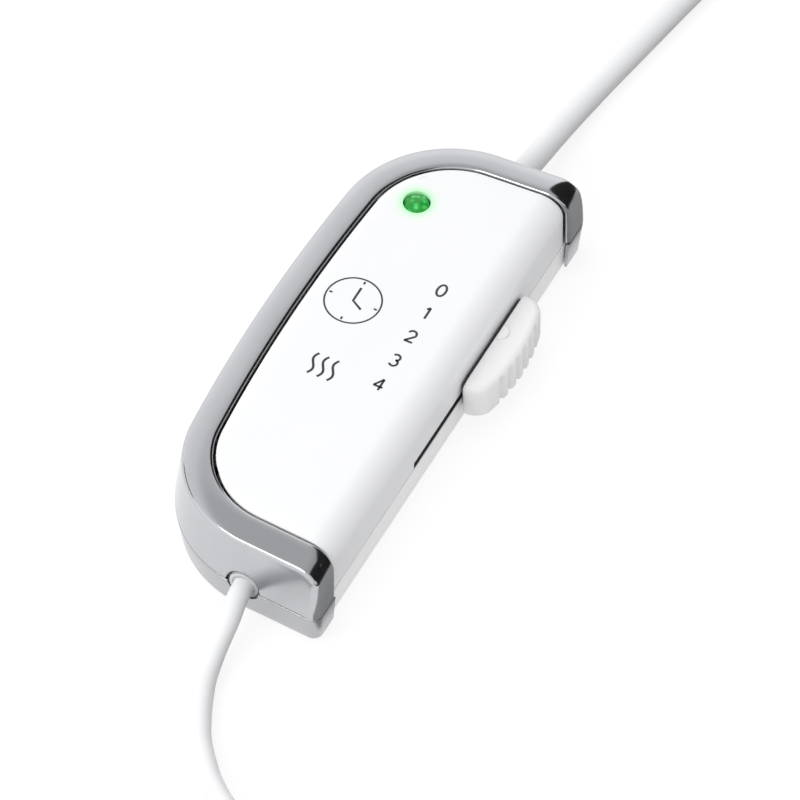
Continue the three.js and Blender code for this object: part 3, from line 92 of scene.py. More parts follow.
# Routes of the free stretches, from the housing to the coil, in millimetres as all of the leads' layout
MAINS_ROUTE = [
    (3.5, 66.2, 9.5), (3.5, 71, 9.3), (3.8, 77.7, 7.7), (3.9, 87.1, 5.6), (4.2, 95.4, 4.1), (5.5, 107.4, 3.2),
    (6.7, 115.2, 3.1), (8.1, 123.3, 3.1), (10.6, 137.9, 3.1), (11.8, 144.3, 3.2), (13.5, 151.5, 3.4),
    (18, 157.2, 3.7), (25.6, 162.6, 4), (30.9, 168, 4.2),
]
PAD_ROUTE = [
    (3.5, -66.2, 9.5), (3.9, -70.3, 9.4), (4.8, -76.1, 8.3), (5, -83, 5), (6.1, -90, 2.9), (8.1, -95.6, 2.7),
    (10.4, -100.8, 2.7), (13.1, -105.9, 2.7), (16.7, -110.6, 2.7), (20.5, -114.9, 2.7), (24.2, -118.2, 2.8),
    (30, -122.9, 3.1), (33.3, -128.4, 3.4), (34, -137, 3.7),
]
# Tails from the coil to the piece at the end of the lead
MAINS_TAIL = [(31.4, 271.2, 12.2), (26.2, 277.6, 14.4), (18.6, 279.8, 17), (10.8, 277, 19.6)]
PAD_TAIL = [
    (19.8, -190, 3.9), (19, -197, 3.9), (20, -206, 3.9), (21.3, -218, 4.1), (19, -228, 4.8),
    (13.2, -232.4, 5.5), (7.2, -229.8, 6.2),
]
# Place where a lead enters its plug or connector, its height, and the heading in degrees
PLUG_AT = ((4.5, 258, 22.35), 270)
CONNECTOR_AT = ((3.9, -216, 6.4), 90)
# Hanks of the stored lengths, tied at the waist
RUN_SHARE = 1 / 6
LEFT_RUN = 0.5 + RUN_SHARE / 2
MAINS_COIL = {
    "centre": (4.5, 219), "outer": 28, "run": 70, "waist": 6, "turns": 2 * (2 + LEFT_RUN), "layers": 2, "way": 1}
PAD_COIL = {"centre": (4.5, -196), "outer": 29.5, "run": 48, "waist": 3, "turns": 2, "layers": 1, "way": -1}
# Clearances of the hanks: over the floor, between turns, between layers, round the leads, and under the ties
COIL_LIFT = 1.3
COIL_CREEP = 0.9
COIL_RISE = 0.8
CORD_GAP = 0.3
TIE_EASE = 0.5

# Strips on the floor beside the leads: gap from a lead's middle line, width, and height over the floor
FLAG_GAP, FLAG_WIDE, FLAG_LIFT = 0.5, 60, 0.3

# Ribs of the strain reliefs: pitch, and first rib's middle over the lead
RIB_PITCH = 2.9 * MM
RIB_PROUD = 1.5 * MM

# Signs on the panel, in millimetres
STEP_PLACES = (21.5, 13.9, 6.0, -2.0, -10.0)
STEP_X, STEP_HIGH, STEP_STROKE = 9.5, 3.5, 0.57
CLOCK_AT, CLOCK_RADIUS = (-7.5, 9.3), 6.8
RING_STROKE, HAND_STROKE, TICK_STROKE = 0.42, 0.6, 0.5
WAVES_AT, WAVE_HIGH, WAVE_PITCH, WAVE_SWAY, WAVE_STROKE = (-4.5, -11.5), 6.4, 2.6, 0.65, 0.6
INK_SINK, INK_RISE = 0.02, 0.025

# The floor: its reach, what it throws back, and the shade and glow that it shows
FLOOR_REACH = 14
FLOOR_BOUNCE, FLOOR_SHADE, FLOOR_GLOW = 0.8, 0.22, 0.82
# The studio's light by height, from the horizon to the zenith, and its share on the slider's side
STUDIO_LEVELS = [(0.0, 1.2), (0.25, 1.18), (0.5, 1.02), (0.72, 0.92), (0.84, 0.6), (0.94, 0.6), (1.0, 0.62)]
STUDIO_BLUE = 1.01
SIDE_REACH, SIDE_SHARE = 0.8, 0.68
# Lamps that point at the origin: width and height, and place
FRONT_LAMP = ((0.7, 0.16), (-0.34, -0.78, 0.72))
TOP_LAMP = ((0.9, 0.9), (-0.3, 0.1, 1.3))
# Cards that the gloss shows: distance, then turn and tilt in degrees, width and height
CARD_REACH = 0.75
CARDS = [
    ("Side Card", -12, 38, 0.62, 0.55), ("Back Card", 57, 30, 1.0, 0.87), ("Left Card", 187, 19, 0.3, 0.16),
    ("Corner Card", 8, 12, 0.75, 0.5),
]
# Cards over the floor: sides across, ends along, and height
LOW_CARD = (0.0255, 0.2, -0.078, 0.16, 0.0002)
FLOOR_CARD = (0.11, 0.95, -0.35, 0.75, 0.0004)
DARK_TONE, GREY_TONE, FLAG_TONE = 0.008, 0.38, 0.01
# Kinds of ray that don't meet a card or a strip
CARD_HIDDEN = ("camera", "diffuse", "shadow", "transmission")
FLAG_HIDDEN = ("camera", "glossy", "shadow", "transmission")


# Properties

def number(label, about, value, **kind):
    return bpy.props.FloatProperty(name=label, description=about, default=value, **kind)


def length(label, about, millimetres):
    return number(label, about, millimetres * MM, unit="LENGTH", precision=5)


def angle(label, about, degrees):
    return number(label, about, math.radians(degrees), unit="ROTATION")


def tint(label, about, *colour):
    return bpy.props.FloatVectorProperty(
        name=label, description=about, default=colour, subtype="COLOR", size=3, min=0, max=1)


class HousingSizes(bpy.types.PropertyGroup):
    height: length("Height", "Base face to the crown of the top", 25.5)
    parting: length("Parting line", "Height at which the two shells meet", 9.5)
    parting_gap: length("Parting gap", "Open line between the two shells", 0.3)
    flank_reach: length("Flank reach", "Origin to the trim on the slider's flank", 23.8)
    left_reach: length("Left reach", "Origin to the bowed left side", 28)
    end_reach: length("End reach", "Origin to each end", 66.8)
    end_slant: number("End slant", "Slope of each end towards the flank", 0.065)
    left_corner: length("Left corner", "Radius of the two large corners", 30.4)
    right_corner: length("Right corner", "Radius of the two small corners", 2.4)
    bow_radius: length("Bow radius", "Radius of the bowed left side", 450)
    side_draft: length("Side draft", "Lean of the upper wall", 1.6)
    lower_taper: length("Lower taper", "Lean of the lower wall", 1.4)
    flank_taper: length("Flank taper", "Lean of the lower wall on the slider's flank", 0.6)
    trim_foot: length("Trim foot", "Height at which the lower trim begins", 0.4)
    base_round: length("Base round", "Rounding at the foot of the lower trim", 0.5)
    rim_drop: length("Rim drop", "Rim's outer edge below the crown", 1.4)
    rim_round: length("Rim round", "Rounding of the rim's outer edge", 1.5)
    rim_reach: length("Rim reach", "Parting outline to the panel", 9.1)
    lip_round: length("Lip round", "Rounding of the rim's inner lip", 0.9)
    lip_turn: angle("Lip turn", "How far the lip curls under", 125)
    seam_round: length("Seam round", "Rounding of the trims along the parting line", 0.25)
    shoulder_reach: length("Shoulder reach", "Width in which the top rolls over into the flank", 6.3)
    shoulder_rise: length("Shoulder rise", "Height in which the top rolls over into the flank", 6)
    trim_wall: length("Trim wall", "Thickness of the trims", 0.8)
    trim_step: length("Trim step", "How far the trims stand proud of the white flank", 1.2)
    panel_sink: length("Panel sink", "Panel below the crown", 0.3)
    panel_groove: length("Panel groove", "Open line between the panel and the rim's left side", 0.6)
    end_groove: length("End groove", "Open line between the panel and the rim's ends", 0.4)
    panel_edge: length("Panel edge", "Rounding of the panel's edge", 0.3)
    panel_crown: length("Panel crown", "Soft rise from the panel's edge", 0.2)
    crown_reach: length("Crown reach", "Width of that soft rise", 3.5)
    cover_wall: length("Cover wall", "Thickness of the top cover's skin", 1.3)
    lamp_x: length("Lamp X", "Place of the lamp across the housing", -8)
    lamp_y: length("Lamp Y", "Place of the lamp along the housing", 42.5)
    lamp_hole: length("Lamp hole", "Radius of the lamp's hole in the panel", 3.3)
    entry_x: length("Entry X", "Place of the leads across the housing", 3.5)
    mains_entry: length("Mains entry", "Radius of the opening for the mains lead", 4.6)
    pad_entry: length("Pad entry", "Radius of the opening for the pad lead", 4.2)


class SliderSizes(bpy.types.PropertyGroup):
    off_place: length("Off place", "Place of the knob's middle at the off step", 20.9)
    knob_length: length("Knob length", "Along the flank", 32)
    knob_reach: length("Knob reach", "How far it stands out of the flank", 8.4)
    knob_height: length("Knob height", "Underside to top", 10.2)
    knob_lift: length("Knob lift", "Base face to the knob's underside", 5.6)
    knob_bow: length("Knob bow", "Bow of its outer face", 1.2)
    end_round: length("End round", "Rounding of its ends", 5.5)
    top_edge: length("Top edge", "Rounding of its upper edge", 1.8)
    relief: length("Relief", "How far its inner face stands back from the running gap", 0.5)
    back_edge: length("Back edge", "Rounding of its inner face at both ends", 0.8)
    foot_edge: length("Foot edge", "Rounding of its lower edge", 1)
    running_gap: length("Running gap", "Gap between knob and flank", 0.3)
    grip_count: bpy.props.IntProperty(name="Grips", description="Number of grip grooves", default=6, min=0)
    grip_pitch: length("Grip pitch", "Distance between two grooves", 3.4)
    grip_width: length("Grip width", "Width of a groove", 1.9)
    grip_depth: length("Grip depth", "Depth of a groove", 1.3)
    grip_top: length("Grip top", "Plain height above the grooves", 0.6)
    mark_radius: length("Mark radius", "Radius of the half-round index mark", 1.9)
    mark_height: length("Mark height", "Height of the index mark", 0.8)
    mark_shift: length("Mark shift", "Knob's middle to the index mark", 2.4)
    slot_low: length("Slot low", "Near end of the slot in the flank", -17.6)
    slot_high: length("Slot high", "Far end of the slot in the flank", 27.4)
    slot_top: length("Slot top", "Height of the slot's upper edge", 11.6)


class LeadSizes(bpy.types.PropertyGroup):
    mains_diameter: length("Mains lead", "Diameter of the mains lead", 6)
    pad_diameter: length("Pad lead", "Diameter of the pad lead", 5.2)
    tie_width: length("Tie width", "Width of the band round a coil", 8)
    tie_thick: length("Tie thickness", "Thickness of the band round a coil", 0.8)
    plug_width: length("Plug width", "Across its pins", 35)
    plug_thick: length("Plug thickness", "Its height as it lies", 13.7)
    plug_body: length("Plug body", "Length without relief and pins", 26)
    plug_relief: length("Plug relief", "Length of its strain relief", 18)
    pin_radius: length("Pin radius", "Radius of a pin's bare tip", 2)
    pin_length: length("Pin length", "Plug's front to a pin's tip", 19)
    pin_pitch: length("Pin pitch", "Distance between the pins", 19)
    sleeve_length: length("Sleeve length", "Covered length of a pin", 10)
    connector_width: length("Connector width", "Across its contacts", 22)
    connector_thick: length("Connector thickness", "Its height as it lies", 12.6)
    connector_body: length("Connector body", "Length without relief and nose", 26)
    connector_relief: length("Connector relief", "Length of its strain relief", 14)
    connector_nose: length("Connector nose", "Length of its nose", 9)
    nose_step: length("Nose step", "How far the nose is set in", 2.4)
    contact_radius: length("Contact radius", "Radius of a contact's hole", 1.2)
    contact_pitch: length("Contact pitch", "Distance between the contacts", 4.6)


class Finishes(bpy.types.PropertyGroup):
    cover: tint("Covers", "White of the two covers", 0.9, 0.905, 0.91)
    knob: tint("Knob", "White of the knob", 0.92, 0.915, 0.92)
    bright: tint("Bright trim", "Plated upper trim", 0.55, 0.56, 0.58)
    silver: tint("Silver trim", "Satin lower trim", 0.48, 0.483, 0.5)
    ink: tint("Ink", "Printed signs", 0.045, 0.05, 0.056)
    lamp: tint("Lamp", "Green lens", 0.01, 0.3, 0.03)
    cord: tint("Leads", "White sheath of the leads", 0.86, 0.865, 0.875)
    plug: tint("Plug", "White of plug and connector", 0.84, 0.845, 0.855)
    bush: tint("Bush", "Grey of the bushes", 0.6, 0.61, 0.62)
    tie: tint("Tie", "Black of the ties", 0.023, 0.024, 0.026)


class StageSettings(bpy.types.PropertyGroup):
    azimuth: angle("Azimuth", "Camera's turn from the near end", 27.6251)
    elevation: angle("Elevation", "Camera's height angle", 51.2915)
    distance: length("Distance", "Camera to the top of the housing", 4003)
    lens: number("Lens", "Focal length in millimetres", 772.5)
    shift_x: number("Shift X", "Sideways framing", 0.04618)
    shift_y: number("Shift Y", "Upright framing", -0.07648)
    softbox: number("Softbox", "Power of the front lamp", 3.0, unit="POWER")
    overhead: number("Overhead", "Power of the top lamp", 3.4, unit="POWER")


# Meshes

def mesh_piece(name, points, faces):
    mesh = bpy.data.meshes.new(name)
    mesh.from_pydata([tuple(p) for p in points], [], faces)
    mesh.update()
    piece = bpy.data.objects.new(name, mesh)
    bpy.context.collection.objects.link(piece)
    return piece


def bake(piece):
    """The piece's modifiers become its mesh."""
    graph = bpy.context.evaluated_depsgraph_get()
    mesh = bpy.data.meshes.new_from_object(piece.evaluated_get(graph))
    plain = piece.data
    piece.modifiers.clear()
    piece.data = mesh
    bpy.data.meshes.remove(plain)
    mesh.name = piece.name
    return piece


def thicken(piece, wall):
    """The sheet gets its wall on the inner side."""
    solid = piece.modifiers.new("Wall", "SOLIDIFY")
    solid.thickness = wall
    solid.offset = -1
    bake(piece)


def cut_away(piece, cutter):
    """The cutter's volume comes off the piece."""
    cut = piece.modifiers.new("Cut", "BOOLEAN")
    cut.operation = "DIFFERENCE"
    cut.solver = "EXACT"
    cut.object = cutter
    bake(piece)
    mesh = cutter.data
    bpy.data.objects.remove(cutter)
    bpy.data.meshes.remove(mesh)


def place(piece, slot, *nodes, body="housing", finish=None, crease=40):
    """The piece gets its finish, rides on its body and stands for its nodes."""
    mesh = piece.data
    mesh.materials.clear()
    mesh.materials.append(finish_of(finish or slot))
    if piece.type == "MESH":
        mesh.shade_smooth()
        mesh.set_sharp_from_angle(angle=math.radians(crease))
    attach(piece, body)
    if nodes:
        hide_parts(*nodes)


def grid_faces(rows, columns, wrap=False, shut=False):
    """Quads of a grid of points, row by row; wrap closes each row, and shut joins the last row to the first."""
    faces = []
    for row in range(rows if shut else rows - 1):
        here, after = row * columns, (row + 1) % rows * columns
        for column in range(columns if wrap else columns - 1):
            beside = (column + 1) % columns
            faces.append((here + column, here + beside, after + beside, after + column))
    return faces


def rings_piece(name, rings):
    """A closed loft over rings of points that run the same way round."""
    count = len(rings[0])
    points = [p for ring in rings for p in ring]
    faces = grid_faces(len(rings), count, wrap=True)
    faces.append(tuple(reversed(range(count))))
    faces.append(tuple(range(len(points) - count, len(points))))
    return mesh_piece(name, points, faces)


def turned_piece(name, profile, steps, along):
    """A turned shape from (radius, height) points, set by along(x, y, height)."""
    turns = [2 * math.pi * i / steps for i in range(steps)]
    return rings_piece(name, [
        [along(radius * math.cos(t), radius * math.sin(t), height) for t in turns] for radius, height in profile])


def arc(centre, radius, start, end, steps):
    turns = [start + (end - start) * i / steps for i in range(steps + 1)]
    return [(centre[0] + radius * math.cos(t), centre[1] + radius * math.sin(t)) for t in turns]


def spaced(low, high, steps):
    return [low + (high - low) * i / steps for i in range(steps + 1)]


def resample(line, shares):
    """Points of a polyline at shares of its length."""
    line = [Vector(p) for p in line]
    lengths = [0.0]
    for a, b in zip(line, line[1:]):
        lengths.append(lengths[-1] + (b - a).length)
    found, at = [], 0
    for share in shares:
        want = min(max(share, 0), 1) * lengths[-1]
        while at < len(line) - 2 and lengths[at + 1] < want:
            at += 1
        span = max(lengths[at + 1] - lengths[at], 1e-12)
        found.append(line[at].lerp(line[at + 1], min(1, (want - lengths[at]) / span)))
    return found


def rounded_rectangle(width, depth, corner, steps):
    """A closed outline round the origin, counterclockwise."""
    corner = min(corner, width / 2, depth / 2)
    x, y = width / 2 - corner, depth / 2 - corner
    quarter = math.pi / 2
    points = []
    for i, (cx, cy) in enumerate([(x, y), (-x, y), (-x, -y), (x, -y)]):
        points += arc((cx, cy), corner, i * quarter, (i + 1) * quarter, steps)
    return points


def rounding(radius, turns):
    """A rounded edge at turns in degrees: each point's distance from the first and from the second side."""
    angles = [math.radians(turn) for turn in turns]
    return [(radius * (1 - math.cos(a)), radius * (1 - math.sin(a))) for a in angles]


def softened(share):
    """A share from 0 to 1 that starts and ends slowly."""
    share = min(1, max(0, share))
    return share * share * (3 - 2 * share)


def mirrored(line):
    """A line's points on the housing's other half, run the other way."""
    return [(x, -y, *rest) for x, y, *rest in reversed(line)]


# The housing's plan

class Plan:
    """The housing's outline, drawn in by a distance on the left and, less a given part of it, at the ends."""

    def __init__(self, housing, sides, less=0):
        self.slope = housing.end_slant
        self.stretch = math.hypot(1, self.slope)
        self.end = housing.end_reach - (sides - less) * self.stretch
        self.large = housing.left_corner - sides
        self.bow = housing.bow_radius - sides
        self.bow_x = housing.bow_radius - housing.left_reach
        offset = self.end - self.large * self.stretch
        inside = self.bow - self.large
        a = 1 + self.slope ** 2
        b = 2 * (offset * self.slope - self.bow_x)
        c = self.bow_x ** 2 + offset ** 2 - inside ** 2
        self.x = (-b - math.sqrt(b * b - 4 * a * c)) / (2 * a)
        self.y = offset + self.slope * self.x
        self.normal = math.pi / 2 + math.atan(self.slope)
        self.bow_angle = math.atan2(self.y, self.x - self.bow_x)

    def end_line(self, x):
        return self.end + self.slope * x

    def end_at(self, x):
        """The far end's place at x, on the straight end or the large corner."""
        if x >= self.x + self.large * math.cos(self.normal):
            return self.end_line(x)
        return self.y + math.sqrt(max(0, self.large ** 2 - (x - self.x) ** 2))

    def left_from(self, x):
        """From the large corner's point at x to the tip of the bowed side."""
        start = math.atan2(self.end_at(x) - self.y, x - self.x)
        corner = arc((self.x, self.y), self.large, start, self.bow_angle, ROUND_STEPS)
        bow = arc((self.bow_x, 0), self.bow, self.bow_angle, math.pi, BOW_STEPS)
        return corner + bow[1:]


def end_run(housing, start, entry):
    """Places across the far end, from start over the opening for a lead to the end of its plain stretch."""
    opening = [housing.entry_x + entry * math.cos(t) for t in spaced(0, math.pi, ENTRY_STEPS)]
    edge = ENTRY_EDGE * entry
    return spaced(start, housing.entry_x + edge, END_STEPS) + opening + [housing.entry_x - edge]


def trim_half(housing, sides, flank, entry):
    """A trim's outline at one level: from the flank over the far end to the tip of the left side."""
    plan = Plan(housing, sides)
    wall = housing.flank_reach - flank
    small = housing.right_corner
    corner_x = wall - small
    corner_y = plan.end_line(corner_x) - small * plan.stretch
    points = [(wall, y) for y in spaced(Plan(housing, housing.rim_reach).end_line(wall), corner_y, FLANK_STEPS)]
    points += arc((corner_x, corner_y), small, 0, plan.normal, CORNER_STEPS)[1:]
    run = end_run(housing, points[-1][0], entry)[1:]
    points += [(x, plan.end_at(x)) for x in run]
    return points + plan.left_from(run[-1])[1:]


def trim_outline(housing, sides, flank):
    """The whole C of a trim at one level, from the far end's flank round to the near end's."""
    far, near = [trim_half(housing, sides, flank, entry) for entry in (housing.mains_entry, housing.pad_entry)]
    return far + mirrored(near)[1:]


def entry_arch(housing, x, y):
    """Height of the opening round a lead, over the parting line, at a point of the outline."""
    if abs(y) < housing.end_reach / 2:
        return 0
    radius = housing.mains_entry if y > 0 else housing.pad_entry
    return math.sqrt(max(0, radius ** 2 - (x - housing.entry_x) ** 2))


# Nodes

def feed(tree, socket, value):
    """A socket's value, or the link of another socket to it."""
    if isinstance(value, bpy.types.NodeSocket):
        tree.links.new(value, socket)
    else:
        socket.default_value = value


def node(tree, kind, values=None, **settings):
    """A node with its settings, and with its inputs fed by label or place."""
    made = tree.nodes.new(kind)
    for name, setting in settings.items():
        setattr(made, name, setting)
    for label, value in (values or {}).items():
        feed(tree, made.inputs[label], value)
    return made


def noise(tree, vector, scale, detail, rough):
    return node(tree, "ShaderNodeTexNoise", {
        "Vector": vector, "Scale": scale, "Detail": detail, "Roughness": rough}).outputs["Fac"]


def remap(tree, value, low, high, to_low, to_high):
    return node(tree, "ShaderNodeMapRange", {
        "Value": value, "From Min": low, "From Max": high, "To Min": to_low, "To Max": to_high}).outputs["Result"]


def math_node(tree, operation, first, second):
    return node(tree, "ShaderNodeMath", {0: first, 1: second}, operation=operation).outputs[0]


def object_place(tree):
    return tree.nodes.new("ShaderNodeTexCoord").outputs["Object"]


def new_group(name, inputs, outputs):
    group = bpy.data.node_groups.new(name, "ShaderNodeTree")
    for label, default in inputs.items():
        socket = group.interface.new_socket(label, in_out="INPUT", socket_type="NodeSocketFloat")
        socket.default_value = default
    for label in outputs:
        group.interface.new_socket(label, in_out="OUTPUT", socket_type="NodeSocketFloat")
    return group, group.nodes.new("NodeGroupInput").outputs


def moulded_grain():
    """Fine grain, broad mottle and gloss patches of a moulded or drawn surface."""
    found = bpy.data.node_groups.get("Moulded Grain")
    if found:
        return found
    group, given = new_group(
        "Moulded Grain", {"Grain Scale": 2600, "Mottle Scale": 55}, ["Height", "Tone", "Gloss"])
    where = object_place(group)
    mottle = noise(group, where, given["Mottle Scale"], 4, 0.55)
    patches = noise(group, where, math_node(group, "MULTIPLY", given["Mottle Scale"], 3.7), 5, 0.6)
    node(group, "NodeGroupOutput", {
        "Height": noise(group, where, given["Grain Scale"], 3, 0.6),
        "Tone": remap(group, mottle, 0.3, 0.7, 0, 1),
        "Gloss": remap(group, patches, 0.32, 0.68, 0, 1)})
    return group


def handling_marks():
    """Hairlines and finger smudges on polished metal."""
    found = bpy.data.node_groups.get("Handling Marks")
    if found:
        return found
    group, given = new_group("Handling Marks", {"Line Scale": 900, "Smudge Scale": 45}, ["Lines", "Smudge"])
    where = object_place(group)
    turned = node(group, "ShaderNodeMapping", {
        "Vector": where, "Rotation": (0.3, 0.2, 0.6), "Scale": (1, 0.04, 0.4)}).outputs["Vector"]
    lines = noise(group, turned, given["Line Scale"], 2, 0.5)
    smudge = noise(group, where, given["Smudge Scale"], 5, 0.62)
    node(group, "NodeGroupOutput", {
        "Lines": remap(group, lines, 0.6, 0.78, 0, 1), "Smudge": remap(group, smudge, 0.42, 0.72, 0, 1)})
    return group


# Materials

class Finish:
    """A material under construction, with its Principled shader."""

    def __init__(self, name):
        self.material = bpy.data.materials.new(name)
        self.material.use_nodes = True
        self.tree = self.material.node_tree
        self.shader = self.tree.nodes["Principled BSDF"]

    def set(self, **values):
        for label, value in values.items():
            self.shader.inputs[label.replace("_", " ")].default_value = value

    def link(self, value, label):
        self.tree.links.new(value, self.shader.inputs[label])

    def texture(self, kind, values, **settings):
        """Outputs of a texture over Object coordinates."""
        return node(self.tree, kind, {"Vector": object_place(self.tree), **values}, **settings).outputs

    def two_tones(self, mask, first, second):
        """A mask's two colours, each three numbers or a socket."""
        blend = node(self.tree, "ShaderNodeMix", data_type="RGBA")
        feed(self.tree, blend.inputs["Factor"], mask)
        sockets = [s for s in blend.inputs if s.type == "RGBA"]
        for socket, colour in zip(sockets, (first, second)):
            feed(self.tree, socket, colour if isinstance(colour, bpy.types.NodeSocket) else (*colour, 1))
        return next(s for s in blend.outputs if s.type == "RGBA")

    def bump(self, height, strength, distance):
        bump = node(self.tree, "ShaderNodeBump", {"Strength": strength, "Distance": distance, "Height": height})
        self.link(bump.outputs["Normal"], "Normal")


def shaded(colour, share):
    return tuple(c * share for c in colour)


def moulded(name, colour, rough=(0.3, 0.4), grain=2600, depth=0.1, contrast=0.975, coat=0.0):
    """Moulded plastic with fine grain, faint mottle and gloss patches."""
    finish = Finish(name)
    out = node(finish.tree, "ShaderNodeGroup", {"Grain Scale": grain}, node_tree=moulded_grain()).outputs
    finish.link(finish.two_tones(out["Tone"], shaded(colour, contrast), tuple(colour)), "Base Color")
    finish.link(remap(finish.tree, out["Gloss"], 0, 1, *rough), "Roughness")
    finish.bump(out["Height"], depth, 0.02 * MM)
    finish.set(Coat_Weight=coat, Coat_Roughness=0.12, IOR=1.48)
    return finish


def plated(name, colour, rough=(0.06, 0.12), lines=900, depth=0.02):
    """Polished or satin plating with hairlines and smudges."""
    finish = Finish(name)
    out = node(finish.tree, "ShaderNodeGroup", {"Line Scale": lines}, node_tree=handling_marks()).outputs
    finish.link(finish.two_tones(out["Smudge"], tuple(colour), shaded(colour, 0.95)), "Base Color")
    finish.link(remap(finish.tree, out["Smudge"], 0, 1, *rough), "Roughness")
    finish.bump(out["Lines"], depth, 0.01 * MM)
    finish.set(Metallic=1.0)
    return finish


def near_point(tree, x, y):
    """Distance from an upright line, over Object coordinates."""
    flat = node(tree, "ShaderNodeVectorMath", {0: object_place(tree), 1: (1, 1, 0)}, operation="MULTIPLY")
    gap = node(tree, "ShaderNodeVectorMath", {0: flat.outputs[0], 1: (x, y, 0)}, operation="DISTANCE")
    return gap.outputs["Value"]


def above(tree, height):
    """1 over a height and 0 under it, over Object coordinates."""
    apart = node(tree, "ShaderNodeSeparateXYZ", {0: object_place(tree)})
    return remap(tree, apart.outputs["Z"], height - 0.3 * MM, height + 0.3 * MM, 0, 1)


def shell_finish(finishes, housing):
    """White plastic of the covers, with a green glow painted round the lamp, as emission and as a green tint in the
    base colour.
    """
    finish = moulded("Cover White", finishes.cover, (0.3, 0.34), 2200, 0.04, 0.99, 0.15)
    # painted glow: a mask that fades out from the lens, on the panel's top only
    far = near_point(finish.tree, housing.lamp_x, housing.lamp_y)
    glow = math_node(finish.tree, "POWER", remap(finish.tree, far, 3 * MM, 7.5 * MM, 1, 0), 3.2)
    glow = math_node(finish.tree, "MULTIPLY", glow, above(finish.tree, housing.height - LENS_AND_PAINTED_GLOW_DEPTH))
    finish.link(finish.two_tones(glow, (0, 0, 0), (0.02, 0.3, 0.05)), "Emission Color")
    finish.set(Emission_Strength=0.5)
    # the painted glow also tints the base colour green
    plain = finish.shader.inputs["Base Color"].links[0].from_socket
    finish.link(finish.two_tones(glow, plain, (0.4, 0.9, 0.45)), "Base Color")
    return finish


def lens_finish(finishes, housing):
    """Green lens, brighter over the lamp behind it, with a faint moulded pattern."""
    finish = moulded("Lamp Green", finishes.lamp, (0.08, 0.14), 900, 0.15, 0.7, 0.4)
    cells = finish.texture("ShaderNodeTexVoronoi", {"Scale": 700})
    spots = remap(finish.tree, cells["Distance"], 0.1, 0.6, 1, 0)
    glow = finish.two_tones(spots, (0.0, 0.07, 0.01), (0.12, 0.85, 0.22))
    crown = above(finish.tree, housing.height - LENS_AND_PAINTED_GLOW_DEPTH)
    finish.link(finish.two_tones(crown, (0, 0, 0), glow), "Emission Color")
    finish.set(Emission_Strength=0.65)
    return finish


def banded(name, colour, stripe, scale, rough=(0.4, 0.55)):
    """A dipped or lacquered body with stripes across its length."""
    finish = moulded(name, colour, rough, 1800, 0.1)
    wave = finish.texture("ShaderNodeTexWave", {"Scale": scale}, bands_direction="Y")
    mask = remap(finish.tree, wave["Fac"], 0.8, 0.86, 0, 1)
    finish.link(finish.two_tones(mask, tuple(colour), stripe), "Base Color")
    return finish


def board_finish():
    """Solder mask with lighter tracks and bright pads."""
    green = (0.028, 0.145, 0.045)
    finish = moulded("Board Green", green, (0.35, 0.5), 1500, 0.15, 0.8)
    brick = finish.texture("ShaderNodeTexBrick", {"Scale": 160, "Mortar Size": 0.05})
    tracks = finish.two_tones(brick["Fac"], green, (0.06, 0.24, 0.07))
    cells = finish.texture("ShaderNodeTexVoronoi", {"Scale": 220, "Randomness": 0.4})
    pads = remap(finish.tree, cells["Distance"], 0.12, 0.16, 1, 0)
    finish.link(finish.two_tones(pads, tracks, (0.6, 0.58, 0.5)), "Base Color")
    return finish


def woven_finish(colour):
    """Hook-and-loop band: a fine weave over the band's own UV map, with fuzz."""
    finish = Finish("Tie Black")
    band = node(finish.tree, "ShaderNodeUVMap", uv_map="Band").outputs["UV"]
    threads = [node(finish.tree, "ShaderNodeTexWave", {
        "Vector": band, "Scale": 420, "Distortion": 1.2}, bands_direction=way).outputs["Fac"] for way in ("X", "Y")]
    weave = math_node(finish.tree, "MAXIMUM", *threads)
    fuzz = noise(finish.tree, object_place(finish.tree), 2400, 4, 0.7)
    finish.link(finish.two_tones(weave, shaded(colour, 0.5), shaded(colour, 1.6)), "Base Color")
    finish.link(remap(finish.tree, fuzz, 0.3, 0.7, 0.75, 0.95), "Roughness")
    finish.bump(math_node(finish.tree, "ADD", weave, fuzz), 0.5, 0.12 * MM)
    finish.set(Sheen_Weight=0.35, Sheen_Roughness=0.5)
    return finish


def glass_finish():
    """Clear tube of the fuse, with a faint drawn streak."""
    finish = moulded("Fuse Glass", (0.8, 0.84, 0.86), (0.04, 0.1), 700, 0.03, 0.9)
    finish.set(Transmission_Weight=0.85, IOR=1.5)
    return finish


